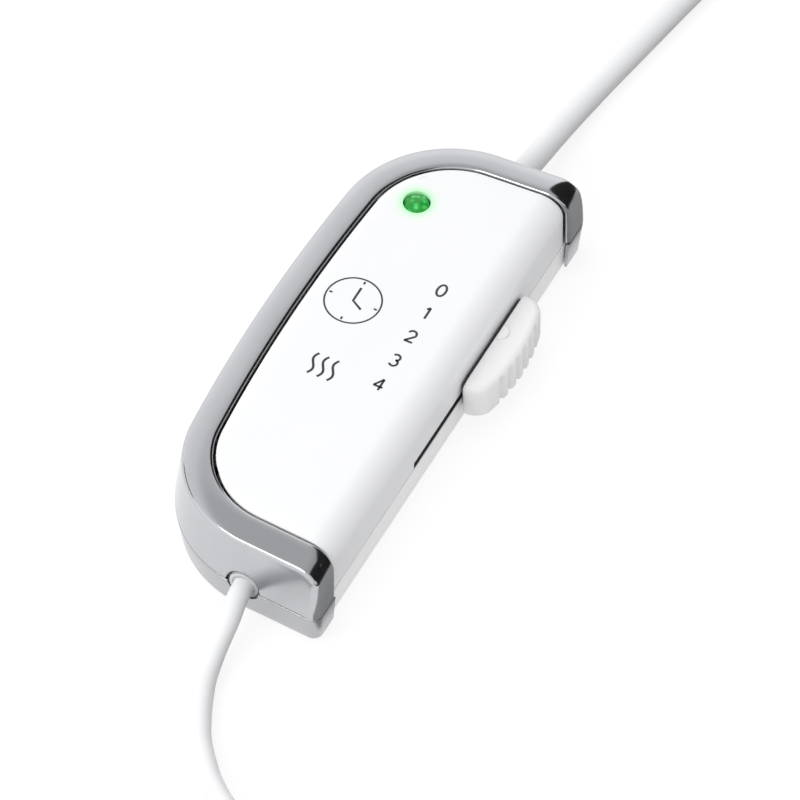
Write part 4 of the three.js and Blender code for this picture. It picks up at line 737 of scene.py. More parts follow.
def all_finishes(scene):
    """Every slot's material, by the slot's name in the record."""
    look, housing = scene.controller_finishes, scene.controller_housing
    made = {
        "white_shell": shell_finish(look, housing),
        "bright_trim": plated("Bright Trim", look.bright, (0.13, 0.19)),
        "silver_trim": plated("Silver Trim", look.silver, (0.22, 0.32), 1400, 0.05),
        "knob_white": moulded("Knob White", look.knob, (0.38, 0.5), 3200, 0.16),
        "dark_plastic": moulded("Dark Plastic", (0.045, 0.05, 0.055), (0.45, 0.6), 2400, 0.2, 0.8),
        "contact_brass": plated("Contact Brass", (0.57, 0.32, 0.07), (0.2, 0.34), 1800, 0.1),
        "spring_steel": plated("Spring Steel", (0.48, 0.5, 0.53), (0.18, 0.3), 1800, 0.1),
        "board_green": board_finish(),
        "lamp_green": lens_finish(look, housing),
        "fuse_glass": glass_finish(),
        "capacitor_yellow": moulded("Capacitor Yellow", (0.58, 0.36, 0.02), (0.35, 0.5), 1500, 0.2, 0.85),
        "component_black": moulded("Component Black", (0.023, 0.023, 0.025), (0.4, 0.6), 2600, 0.25, 0.75),
        "varistor_blue": moulded("Varistor Blue", (0.025, 0.115, 0.39), (0.25, 0.4), 700, 0.25, 0.8),
        "resistor_tan": banded("Resistor Tan", (0.645, 0.456, 0.262), (0.12, 0.03, 0.02), 220),
        "bush_grey": moulded("Bush Grey", look.bush, (0.45, 0.6), 2600, 0.2),
        "screw_steel": plated("Screw Steel", (0.4, 0.42, 0.44), (0.2, 0.34), 1600, 0.08),
        "wire_brown": moulded("Wire Brown", (0.195, 0.069, 0.019), (0.35, 0.5), 2000, 0.1, 0.9),
        "wire_blue": moulded("Wire Blue", (0.028, 0.122, 0.46), (0.35, 0.5), 2000, 0.1, 0.9),
        "wire_red": moulded("Wire Red", (0.48, 0.033, 0.025), (0.35, 0.5), 2000, 0.1, 0.9),
        "cord_white": moulded("Cord White", look.cord, (0.34, 0.48), 1900, 0.12, 0.98),
        "tie_black": woven_finish(look.tie),
        "plug_white": moulded("Plug White", look.plug, (0.36, 0.48), 2400, 0.18, 0.97),
        "pin_brass": plated("Pin Nickel", (0.55, 0.5, 0.4), (0.12, 0.22), 1300, 0.05),
        "print_ink": moulded("Print Ink", look.ink, (0.42, 0.55), 2600, 0.1, 0.8),
    }
    return {slot: finish.material for slot, finish in made.items()}


def finish_of(slot):
    return bpy.context.scene.controller_slots[slot].material


# Operators

class ControllerSlot(bpy.types.PropertyGroup):
    material: bpy.props.PointerProperty(name="Material", description="Finish of this slot", type=bpy.types.Material)


class CONTROLLER_OT_stage(bpy.types.Operator):
    """Camera, pale floor, soft lamps and the cards and strips beside the object"""
    bl_idname = "controller.stage"
    bl_label = "Stage"

    def execute(self, context):
        scene, stage = context.scene, context.scene.controller_stage
        self.aim(scene, stage)
        self.lay_floor()
        self.light_world(scene)
        self.hang_lamp("Front Softbox", stage.softbox, *FRONT_LAMP)
        overhead = self.hang_lamp("Top Softbox", stage.overhead, *TOP_LAMP)
        overhead.visible_glossy = False
        self.hang_cards()
        self.lay_flags()
        scene.view_settings.view_transform = "Standard"
        return {"FINISHED"}

    def aim(self, scene, stage):
        camera = bpy.data.cameras.new("Camera")
        camera.lens = stage.lens
        camera.sensor_width = 36
        camera.shift_x = stage.shift_x
        camera.shift_y = stage.shift_y
        camera.clip_end = 40
        holder = bpy.data.objects.new("Camera", camera)
        scene.collection.objects.link(holder)
        level = math.cos(stage.elevation)
        back = Vector((
            math.sin(stage.azimuth) * level, -math.cos(stage.azimuth) * level, math.sin(stage.elevation)))
        right = Vector((math.cos(stage.azimuth), math.sin(stage.azimuth), 0))
        turn = Matrix((right, back.cross(right), back)).transposed()
        top = Vector((0, 0, scene.controller_housing.height))
        holder.matrix_world = Matrix.Translation(top + back * stage.distance) @ turn.to_4x4()
        scene.camera = holder

    def sheet(self, name, points, material, hidden=(), faces=((0, 1, 2, 3),)):
        """A sheet of the stage, hidden from some kinds of ray."""
        sheet = mesh_piece(name, points, faces)
        sheet.data.materials.append(material)
        for ray in hidden:
            setattr(sheet, f"visible_{ray}", False)

    def level_sheet(self, name, low, high, near, far, level, material, hidden=()):
        self.sheet(name, [(low, near, level), (high, near, level), (high, far, level), (low, far, level)],
                   material, hidden)

    def lay_floor(self):
        """A floor that looks white with a soft shadow, and is plain pale where it only throws light back."""
        material = bpy.data.materials.new("Pale Floor")
        material.use_nodes = True
        tree = material.node_tree
        tree.nodes.clear()
        path = tree.nodes.new("ShaderNodeLightPath").outputs
        seen = math_node(tree, "MAXIMUM", path["Is Camera Ray"], path["Is Glossy Ray"])
        seen = math_node(tree, "MAXIMUM", seen, path["Is Transmission Ray"])
        bounce, shade = [node(tree, "ShaderNodeBsdfDiffuse", {"Color": (tone, tone, tone, 1)}).outputs[0]
                         for tone in (FLOOR_BOUNCE, FLOOR_SHADE)]
        glow = node(tree, "ShaderNodeEmission", {"Strength": FLOOR_GLOW}).outputs[0]
        lit = node(tree, "ShaderNodeAddShader", {0: shade, 1: glow}).outputs[0]
        either = node(tree, "ShaderNodeMixShader", {0: seen, 1: bounce, 2: lit}).outputs[0]
        node(tree, "ShaderNodeOutputMaterial", {"Surface": either})
        self.level_sheet("Floor", -FLOOR_REACH, FLOOR_REACH, -FLOOR_REACH, FLOOR_REACH, 0, material)

    def light_world(self, scene):
        """A studio that darkens towards the zenith and on the slider's side."""
        world = bpy.data.worlds.new("Studio")
        world.use_nodes = True
        scene.world = world
        tree = world.node_tree
        around = tree.nodes.new("ShaderNodeTexCoord").outputs["Generated"]
        apart = node(tree, "ShaderNodeSeparateXYZ", {0: around}).outputs
        ramp = node(tree, "ShaderNodeValToRGB", {"Fac": apart["Z"]})
        for position, _ in STUDIO_LEVELS[1:-1]:
            ramp.color_ramp.elements.new(position)
        for element, (_, level) in zip(ramp.color_ramp.elements, STUDIO_LEVELS):
            element.color = (level, level, level * STUDIO_BLUE, 1)
        background = tree.nodes["Background"]
        feed(tree, background.inputs["Color"], ramp.outputs["Color"])
        feed(tree, background.inputs["Strength"], remap(tree, apart["X"], 0, SIDE_REACH, 1, SIDE_SHARE))

    def hang_lamp(self, name, power, size, at):
        """A soft lamp that points at the origin."""
        light = bpy.data.lights.new(name, "AREA")
        light.shape = "RECTANGLE"
        light.size, light.size_y = size
        light.energy = power
        holder = bpy.data.objects.new(name, light)
        bpy.context.scene.collection.objects.link(holder)
        turn = Vector(at).to_track_quat("Z", "Y")
        holder.matrix_world = Matrix.Translation(at) @ turn.to_matrix().to_4x4()
        return holder

    def hang_cards(self):
        """Cards that only reflections show."""
        dark, grey = self.card_finish("Dark Card", DARK_TONE), self.card_finish("Grey Card", GREY_TONE)
        for name, turn, tilt, wide, high in CARDS:
            out = Matrix.Rotation(math.radians(turn), 4, "Z") @ Matrix.Rotation(math.radians(-tilt), 4, "Y")
            self.sheet(name, [out @ Vector((CARD_REACH, across * wide / 2, up * high / 2))
                              for across, up in ((-1, -1), (1, -1), (1, 1), (-1, 1))], dark, CARD_HIDDEN)
        self.level_sheet("Low Card", *LOW_CARD, grey, CARD_HIDDEN)
        self.level_sheet("Floor Card", *FLOOR_CARD, dark, CARD_HIDDEN)

    def lay_flags(self):
        """Strips that keep the floor's light off the slider side of the leads."""
        material = self.card_finish("Lead Flag", FLAG_TONE)
        tree = material.node_tree
        # the floor under a strip is lit as if it weren't there
        either = node(tree, "ShaderNodeMixShader", {
            0: tree.nodes.new("ShaderNodeNewGeometry").outputs["Backfacing"],
            1: tree.nodes["Principled BSDF"].outputs[0],
            2: tree.nodes.new("ShaderNodeBsdfTransparent").outputs[0]})
        feed(tree, tree.nodes["Material Output"].inputs["Surface"], either.outputs[0])
        for name, route in (("Mains Flag", MAINS_ROUTE), ("Pad Flag", PAD_ROUTE)):
            points = [Vector((x + gap, y, FLAG_LIFT)) * MM for gap in (FLAG_GAP + FLAG_WIDE, FLAG_GAP)
                      for x, y, _ in sorted(route, key=lambda p: p[1])]
            self.sheet(name, points, material, FLAG_HIDDEN, grid_faces(2, len(route)))

    def card_finish(self, name, tone):
        finish = Finish(name)
        finish.set(Base_Color=(tone, tone, tone, 1), Roughness=1)
        return finish.material


def smooth_line(points, steps):
    """A centripetal spline through the points."""
    points = [Vector(p) for p in points]
    ends = [2 * points[0] - points[1], *points, 2 * points[-1] - points[-2]]
    line = []
    for p0, p1, p2, p3 in zip(ends, ends[1:], ends[2:], ends[3:]):
        t0 = 0.0
        t1 = t0 + math.sqrt((p1 - p0).length)
        t2 = t1 + math.sqrt((p2 - p1).length)
        t3 = t2 + math.sqrt((p3 - p2).length)
        for i in range(steps):
            t = t1 + (t2 - t1) * i / steps
            a1 = p0.lerp(p1, (t - t0) / (t1 - t0))
            a2 = p1.lerp(p2, (t - t1) / (t2 - t1))
            a3 = p2.lerp(p3, (t - t2) / (t3 - t2))
            b1 = a1.lerp(a2, (t - t0) / (t2 - t0))
            b2 = a2.lerp(a3, (t - t1) / (t3 - t1))
            line.append(b1.lerp(b2, (t - t1) / (t2 - t1)))
    return [*line, points[-1]]


class Coil:
    """A hank of stored lead, in millimetres."""

    def __init__(self, diameter, centre, outer, run, waist, turns, layers, way):
        self.diameter = diameter
        self.centre, self.outer, self.run, self.waist = centre, outer, run, waist
        self.turns, self.layers, self.way = turns, layers, way
        self.per_layer = turns / layers
        self.creep = diameter + COIL_CREEP
        self.rise = diameter + COIL_RISE
        self.top = COIL_LIFT + diameter + self.rise * (layers - 1)

    def reach(self, turn):
        """Distance of the wound lead from the hank's middle line, away from the waist."""
        layer = min(int(turn / self.per_layer), self.layers - 1)
        within = turn - layer * self.per_layer
        drawn_in = within if layer % 2 == 0 else self.per_layer - within
        return self.outer - self.creep * drawn_in

    def at(self, turn):
        """A point on the wound part: each half turn is a run, drawn in at the waist, then a bend."""
        reach = self.reach(turn)
        z = COIL_LIFT + self.diameter / 2
        for k in range(1, self.layers):
            z += self.rise * softened((turn - k * self.per_layer) / RUN_SHARE + 0.5)
        part = turn % 1
        side = 1 if part < 0.5 else -1
        within = part % 0.5
        along = min(within / RUN_SHARE, 1) - 0.5
        bend = math.pi * max(within - RUN_SHARE, 0) / (0.5 - RUN_SHARE)
        drawn = self.waist * math.cos(math.pi * along) ** 2
        x = side * (reach * math.cos(bend) - drawn)
        y = side * (self.run * along + reach * math.sin(bend))
        return Vector((self.centre[0] + x, self.centre[1] + self.way * y, z))

    def line(self, per_turn):
        count = round(self.turns * per_turn)
        return [self.at(self.turns * i / count) for i in range(count + 1)]

    def straight(self, turn, way):
        """Two points straight on from an end of the wound part."""
        end = self.at(turn)
        onward = (end - self.at(turn - way * 1e-3)).normalized()
        return [end + onward * (count * self.diameter + CORD_GAP) for count in (1, 2)]


def both_coils(leads):
    """The hanks of the mains lead and the pad lead."""
    return Coil(leads.mains_diameter / MM, **MAINS_COIL), Coil(leads.pad_diameter / MM, **PAD_COIL)


def into_piece(at, diameter):
    """Straight points into a plug or connector."""
    (x, y, z), heading = at
    way = Vector((math.cos(math.radians(heading)), math.sin(math.radians(heading)), 0))
    return [Vector((x, y, z)) - way * 1.5 * diameter, Vector((x, y, z)) + way * 4]


def lead_line(route, coil, tail, at):
    """The middle line of a whole lead, in metres."""
    start, end = coil.at(0), coil.at(coil.turns)
    free = smooth_line([*route, *reversed(coil.straight(0, -1)), start], ROUTE_STEPS)
    last = [*tail, *into_piece(at, coil.diameter)]
    loose = smooth_line([end, *coil.straight(coil.turns, 1), *last], ROUTE_STEPS)
    return [p * MM for p in [*free[:-1], *coil.line(TURN_STEPS), *loose[1:]]]


class CONTROLLER_OT_leads(bpy.types.Operator):
    """Mains lead and pad lead, each one sheath from the housing over its coil to its plug or connector"""
    bl_idname = "controller.leads"
    bl_label = "Leads"

    def execute(self, context):
        leads = context.scene.controller_leads
        mains, pad = both_coils(leads)
        self.sheath("mains_lead", lead_line(MAINS_ROUTE, mains, MAINS_TAIL, PLUG_AT), leads.mains_diameter,
                    ("mains_cord", "mains_cord_coil", "mains_cord_tail"))
        self.sheath("pad_lead", lead_line(PAD_ROUTE, pad, PAD_TAIL, CONNECTOR_AT), leads.pad_diameter,
                    ("pad_cord", "pad_cord_coil", "pad_cord_tail"))
        return {"FINISHED"}

    def sheath(self, name, line, diameter, nodes):
        curve = bpy.data.curves.new(name, "CURVE")
        curve.dimensions = "3D"
        curve.bevel_depth = diameter / 2
        curve.bevel_resolution = 6
        curve.use_fill_caps = True
        spline = curve.splines.new("POLY")
        spline.points.add(len(line) - 1)
        for point, at in zip(spline.points, line):
            point.co = (*at, 1)
        piece = bpy.data.objects.new(name, curve)
        bpy.context.collection.objects.link(piece)
        place(piece, "cord_white", *nodes)


class CONTROLLER_OT_ties(bpy.types.Operator):
    """Hook-and-loop bands round the two coils"""
    bl_idname = "controller.ties"
    bl_label = "Coil Ties"

    def execute(self, context):
        leads = context.scene.controller_leads
        mains, pad = both_coils(leads)
        snug = mains.diameter / 2 + CORD_GAP + TIE_EASE - mains.waist
        right = mains.reach(RUN_SHARE / 2) + snug
        self.band("mains_tie", mains, -mains.reach(LEFT_RUN) - snug, right, leads, "mains_cord_tie")
        snug = pad.diameter / 2 + CORD_GAP + TIE_EASE
        outer = pad.reach(LEFT_RUN) - pad.waist + snug
        inner = pad.reach(LEFT_RUN + 1) - pad.waist - snug
        self.band("pad_tie", pad, -outer, -inner, leads, "pad_cord_tie")
        return {"FINISHED"}

    def band(self, name, coil, start, end, leads, node_name):
        wide, thick = leads.tie_width / MM, leads.tie_thick / MM
        low = COIL_LIFT - CORD_GAP
        high = coil.top + CORD_GAP
        outline = rounded_rectangle(end - start, high - low, coil.diameter / 2, 10)
        loop = resample([*outline, outline[0]], spaced(0, 1, TIE_STEPS)[:-1])
        section = rounded_rectangle(wide, thick, thick * 0.45, 3)
        centre = Vector((coil.centre[0] + (start + end) / 2, coil.centre[1], (low + high) / 2))
        points, spread = [], []
        run = 0.0
        for i, here in enumerate(loop):
            before, after = loop[i - 1], loop[(i + 1) % TIE_STEPS]
            run += (here - before).length if i else 0
            along = (after - before).normalized()
            out = Vector((along.y, -along.x))
            # the band's free end lies over its other end, on top
            lap = 0.35 * thick * min(1, max(0, here.y / high * 6 - 1.6)) * (here.x < 0.15 * (end - start))
            for across, up in section:
                flat = here + out * (thick / 2 + up + lap * (up > 0))
                points.append(centre + Vector((flat.x, across, flat.y)))
                spread.append((run * MM, across * MM))
        piece = mesh_piece(name, [p * MM for p in points], grid_faces(TIE_STEPS, len(section), True, True))
        layer = piece.data.uv_layers.new(name="Band")
        for corner in piece.data.loops:
            layer.data[corner.index].uv = spread[corner.vertex_index]
        place(piece, "tie_black", node_name, crease=60)


class Laid:
    """The frame of a piece that lies at the end of a lead, along its heading."""

    def __init__(self, at):
        (x, y, z), heading = at
        self.origin = Vector((x, y, z)) * MM
        angle = math.radians(heading)
        self.ahead = Vector((math.cos(angle), math.sin(angle), 0))
        self.side = Vector((-math.sin(angle), math.cos(angle), 0))
        self.heading = angle

    def put(self, across, up, along):
        return self.origin + self.side * across + Vector((0, 0, up)) + self.ahead * along

    def ring(self, outline, along):
        """An outline of (across, up) points, counterclockwise seen from the front."""
        return [self.put(across, up, along) for across, up in outline]

    def loft(self, name, rows):
        """A body over rows of (place along, width, height, corner)."""
        return rings_piece(name, [
            self.ring(rounded_rectangle(across, up, corner, 8), along) for along, across, up, corner in rows])

    def relief_ribs(self, name, cord, count, widening, bead, start):
        """Ribs round the strain relief, from its thin end."""
        ribs = grow(name, rib_tree(), [], {
            "Ribs": count, "Pitch": RIB_PITCH, "First Radius": cord / 2 + RIB_PROUD, "Widening": widening,
            "Rib Radius": bead, "Heading": self.heading, "Place": self.put(0, 0, start)}, "plug_white")
        place(ribs, "plug_white", crease=60)


def eased(keys, steps):
    """Rows of numbers that run softly through the key rows."""
    rows = []
    for low, high in zip(keys, keys[1:]):
        for share in spaced(0, 1, steps)[:-1]:
            soft = softened(share)
            along = low[0] + (high[0] - low[0]) * share
            rows.append((along, *[a + (b - a) * soft for a, b in zip(low[1:], high[1:])]))
    return [*rows, keys[-1]]


def geometry_tree(name, *labels, **kinds):
    """A Geometry Nodes tree with named inputs, numbers unless their kind is given, and a material input."""
    tree = bpy.data.node_groups.new(name, "GeometryNodeTree")
    kinds = {"Geometry": "Geometry", "Material": "Material", **kinds}
    for label in ("Geometry", *labels, "Material"):
        tree.interface.new_socket(label, in_out="INPUT", socket_type="NodeSocket" + kinds.get(label, "Float"))
    tree.interface.new_socket("Geometry", in_out="OUTPUT", socket_type="NodeSocketGeometry")
    return tree, tree.nodes.new("NodeGroupInput").outputs


def close_tree(tree, given, geometry):
    """Realize Instances and Set Material end every tree."""
    real = node(tree, "GeometryNodeRealizeInstances", {"Geometry": geometry}).outputs[0]
    dressed = node(tree, "GeometryNodeSetMaterial", {"Geometry": real, "Material": given["Material"]}).outputs[0]
    node(tree, "NodeGroupOutput", {0: dressed})
    return tree


def grow(name, tree, points, values, slot):
    """A piece that a Geometry Nodes tree makes over the points, as a plain mesh."""
    piece = mesh_piece(name, points, [])
    modifier = piece.modifiers.new("Nodes", "NODES")
    modifier.node_group = tree
    sockets = {item.name: item.identifier for item in tree.interface.items_tree if item.in_out == "INPUT"}
    for label, value in {**values, "Material": finish_of(slot)}.items():
        modifier[sockets[label]] = value
    return bake(piece)


def vector_of(tree, x, y, z):
    return node(tree, "ShaderNodeCombineXYZ", {0: x, 1: y, 2: z}).outputs[0]


def joined(tree, *shapes):
    join = tree.nodes.new("GeometryNodeJoinGeometry")
    for shape in reversed(shapes):
        tree.links.new(shape, join.inputs[0])
    return join.outputs[0]


def moved(tree, shape, offset=(0, 0, 0), turn=(0, 0, 0)):
    return node(tree, "GeometryNodeTransform", {
        "Geometry": shape, "Translation": offset, "Rotation": turn}).outputs[0]


def on_points(tree, given, shape):
    return node(tree, "GeometryNodeInstanceOnPoints", {"Points": given["Geometry"], "Instance": shape}).outputs[0]


def screw_tree():
    """Pan-head screws with a cross recess, head down, one on each point."""
    tree, given = geometry_tree(
        "Screw Set", "Head Radius", "Head Height", "Shank Radius", "Shank Length", "Recess Width")
    disc = node(tree, "GeometryNodeMeshCylinder", {
        "Vertices": 40, "Radius": given["Head Radius"], "Depth": given["Head Height"]}).outputs["Mesh"]
    middle, face = [math_node(tree, "MULTIPLY", given["Head Height"], share) for share in (-0.5, -1)]
    reach = math_node(tree, "MULTIPLY", given["Head Radius"], 1.25)
    deep = math_node(tree, "MULTIPLY", given["Head Height"], 1.2)
    cut = node(tree, "GeometryNodeMeshBoolean", {
        "Mesh 1": moved(tree, disc, vector_of(tree, 0, 0, middle))}, operation="DIFFERENCE")
    for size in ((reach, given["Recess Width"], deep), (given["Recess Width"], reach, deep)):
        arm = node(tree, "GeometryNodeMeshCube", {"Size": vector_of(tree, *size)}).outputs["Mesh"]
        tree.links.new(moved(tree, arm, vector_of(tree, 0, 0, face)), cut.inputs["Mesh 2"])
    shank = node(tree, "GeometryNodeMeshCone", {
        "Vertices": 24, "Radius Bottom": given["Shank Radius"], "Depth": given["Shank Length"],
        "Radius Top": math_node(tree, "MULTIPLY", given["Shank Radius"], 0.55)}).outputs["Mesh"]
    return close_tree(tree, given, on_points(tree, given, joined(tree, cut.outputs["Mesh"], shank)))


def rib_tree():
    """Round ribs in a row that widens, laid along a heading."""
    tree, given = geometry_tree(
        "Relief Ribs", "Ribs", "Pitch", "First Radius", "Widening", "Rib Radius", "Heading", "Place",
        Ribs="Int", Place="Vector")
    line = node(tree, "GeometryNodeMeshLine", {
        "Count": given["Ribs"], "Offset": vector_of(tree, 0, 0, given["Pitch"])}).outputs["Mesh"]
    circle, bead = [
        node(tree, "GeometryNodeCurvePrimitiveCircle", {"Resolution": steps, "Radius": size}).outputs["Curve"]
        for steps, size in ((40, 1.0), (12, given["Rib Radius"]))]
    order = tree.nodes.new("GeometryNodeInputIndex").outputs[0]
    radius = math_node(tree, "ADD", given["First Radius"], math_node(tree, "MULTIPLY", given["Widening"], order))
    rings = node(tree, "GeometryNodeInstanceOnPoints", {
        "Points": line, "Instance": circle, "Scale": vector_of(tree, radius, radius, radius)}).outputs[0]
    loops = node(tree, "GeometryNodeRealizeInstances", {"Geometry": rings}).outputs[0]
    ribs = node(tree, "GeometryNodeCurveToMesh", {"Curve": loops, "Profile Curve": bead}).outputs["Mesh"]
    lying = moved(tree, ribs, turn=(0, math.pi / 2, 0))
    return close_tree(tree, given, moved(tree, lying, given["Place"], vector_of(tree, 0, 0, given["Heading"])))


def pin_tree():
    """Round pins with a domed tip, laid along a heading, one on each point."""
    tree, given = geometry_tree("Pin Pair", "Radius", "Length", "Heading", "Dome")
    rod = node(tree, "GeometryNodeMeshCylinder", {
        "Vertices": 32, "Radius": given["Radius"], "Depth": given["Length"]}).outputs["Mesh"]
    tip = node(tree, "GeometryNodeMeshUVSphere", {
        "Segments": 32, "Rings": 12, "Radius": math_node(tree, "MULTIPLY", given["Radius"], 0.985)}).outputs["Mesh"]
    half = math_node(tree, "MULTIPLY", given["Length"], 0.5)
    top = math_node(tree, "SUBTRACT", half, math_node(tree, "MULTIPLY", given["Radius"], given["Dome"]))
    pin = joined(tree, rod, moved(tree, tip, vector_of(tree, 0, 0, top)))
    lying = moved(tree, pin, turn=(0, math.pi / 2, 0))
    turned = moved(tree, lying, turn=vector_of(tree, 0, 0, given["Heading"]))
    return close_tree(tree, given, on_points(tree, given, turned))


class CONTROLLER_OT_plug(bpy.types.Operator):
    """Mains plug with its ribbed relief, sleeved pins and body"""
    bl_idname = "controller.plug"
    bl_label = "Mains Plug"

    def execute(self, context):
        leads = context.scene.controller_leads
        laid = Laid(PLUG_AT)
        cord = leads.mains_diameter
        relief, front = leads.plug_relief, leads.plug_relief + leads.plug_body
        wide, thick = leads.plug_width, leads.plug_thick
        corner, edge = 5.5 * MM, 1.2 * MM
        keys = [
            (0, cord + 2.2 * MM, cord + 2.2 * MM, 4.1 * MM),
            (relief * 0.9, cord + 5.5 * MM, cord + 5.5 * MM, corner),
            (relief + 2 * MM, 0.52 * wide, thick - 1.4 * MM, corner),
            (relief + 7 * MM, 0.74 * wide, thick, corner),
            (front - 8 * MM, wide, thick, corner),
            (front - edge, wide, thick, corner),
        ]
        rows = eased(keys, 8)
        for drop, back in rounding(edge, (20, 45, 70, 90)):
            rows.append((front - back, wide - 2 * drop, thick - 2 * drop, 5 * MM))
        place(laid.loft("plug_body", rows), "plug_white", "mains_plug", crease=50)
        laid.relief_ribs("plug_relief_ribs", cord, 5, 0.38 * MM, 0.85 * MM, 2 * MM)
        self.pins(leads, laid, front)
        return {"FINISHED"}

    def pins(self, leads, laid, front):
        """Bare pins that start in the body, and the sleeves on them."""
        tree, root = pin_tree(), 6 * MM
        bare, sleeve = leads.pin_length + root, leads.sleeve_length
        for name, slot, nodes, radius, run, middle, dome in (
                ("plug_pins", "pin_brass", ("mains_plug_pin_1", "mains_plug_pin_2"),
                 leads.pin_radius, bare - leads.pin_radius, front - root + bare / 2, 0.0),
                ("plug_pin_sleeves", "plug_white", (), leads.pin_radius * 1.04, sleeve, front + sleeve / 2, 1.1)):
            starts = [laid.put(side * leads.pin_pitch / 2, 0, middle) for side in (-1, 1)]
            pair = grow(name, tree, starts, {
                "Radius": radius, "Length": run, "Heading": laid.heading, "Dome": dome}, slot)
            place(pair, slot, *nodes)


class CONTROLLER_OT_connector(bpy.types.Operator):
    """Connector at the end of the pad lead, with its relief, nose and contact holes"""
    bl_idname = "controller.connector"
    bl_label = "Pad Connector"

    def execute(self, context):
        leads = context.scene.controller_leads
        laid = Laid(CONNECTOR_AT)
        cord = leads.pad_diameter
        relief, front = leads.connector_relief, leads.connector_relief + leads.connector_body
        tip = front + leads.connector_nose
        wide, thick = leads.connector_width, leads.connector_thick
        nose_wide, nose_thick = wide - 2 * leads.nose_step, thick - 2 * leads.nose_step
        keys = [
            (0, cord + 2.2 * MM, cord + 2.2 * MM, 3.7 * MM),
            (relief * 0.9, cord + 5 * MM, cord + 5 * MM, 5 * MM),
            (relief + 2 * MM, wide - 2 * MM, thick - 1.8 * MM, 3.5 * MM),
            (relief + 5 * MM, wide, thick, 3.5 * MM),
            (front - 0.9 * MM, wide, thick, 3.5 * MM),
            (front, wide - 1.8 * MM, thick - 1.8 * MM, 3.2 * MM),
            (front + 0.05 * MM, nose_wide, nose_thick, 2.4 * MM),
            (tip - 0.5 * MM, nose_wide, nose_thick, 2.4 * MM),
            (tip, nose_wide - 1 * MM, nose_thick - 1 * MM, 2 * MM),
        ]
        body = laid.loft("connector_body", eased(keys, 6))
        for side in (-1, 0, 1):
            cut_away(body, turned_piece(
                "drill", [(leads.contact_radius, tip - 7 * MM), (leads.contact_radius, tip + 1 * MM)], 28,
                lambda x, y, h, side=side: laid.put(x + side * leads.contact_pitch, y, h)))
        place(body, "plug_white", "pad_connector", crease=45)
        laid.relief_ribs("connector_relief_ribs", cord, 4, 0.36 * MM, 0.8 * MM, 1.8 * MM)
        return {"FINISHED"}


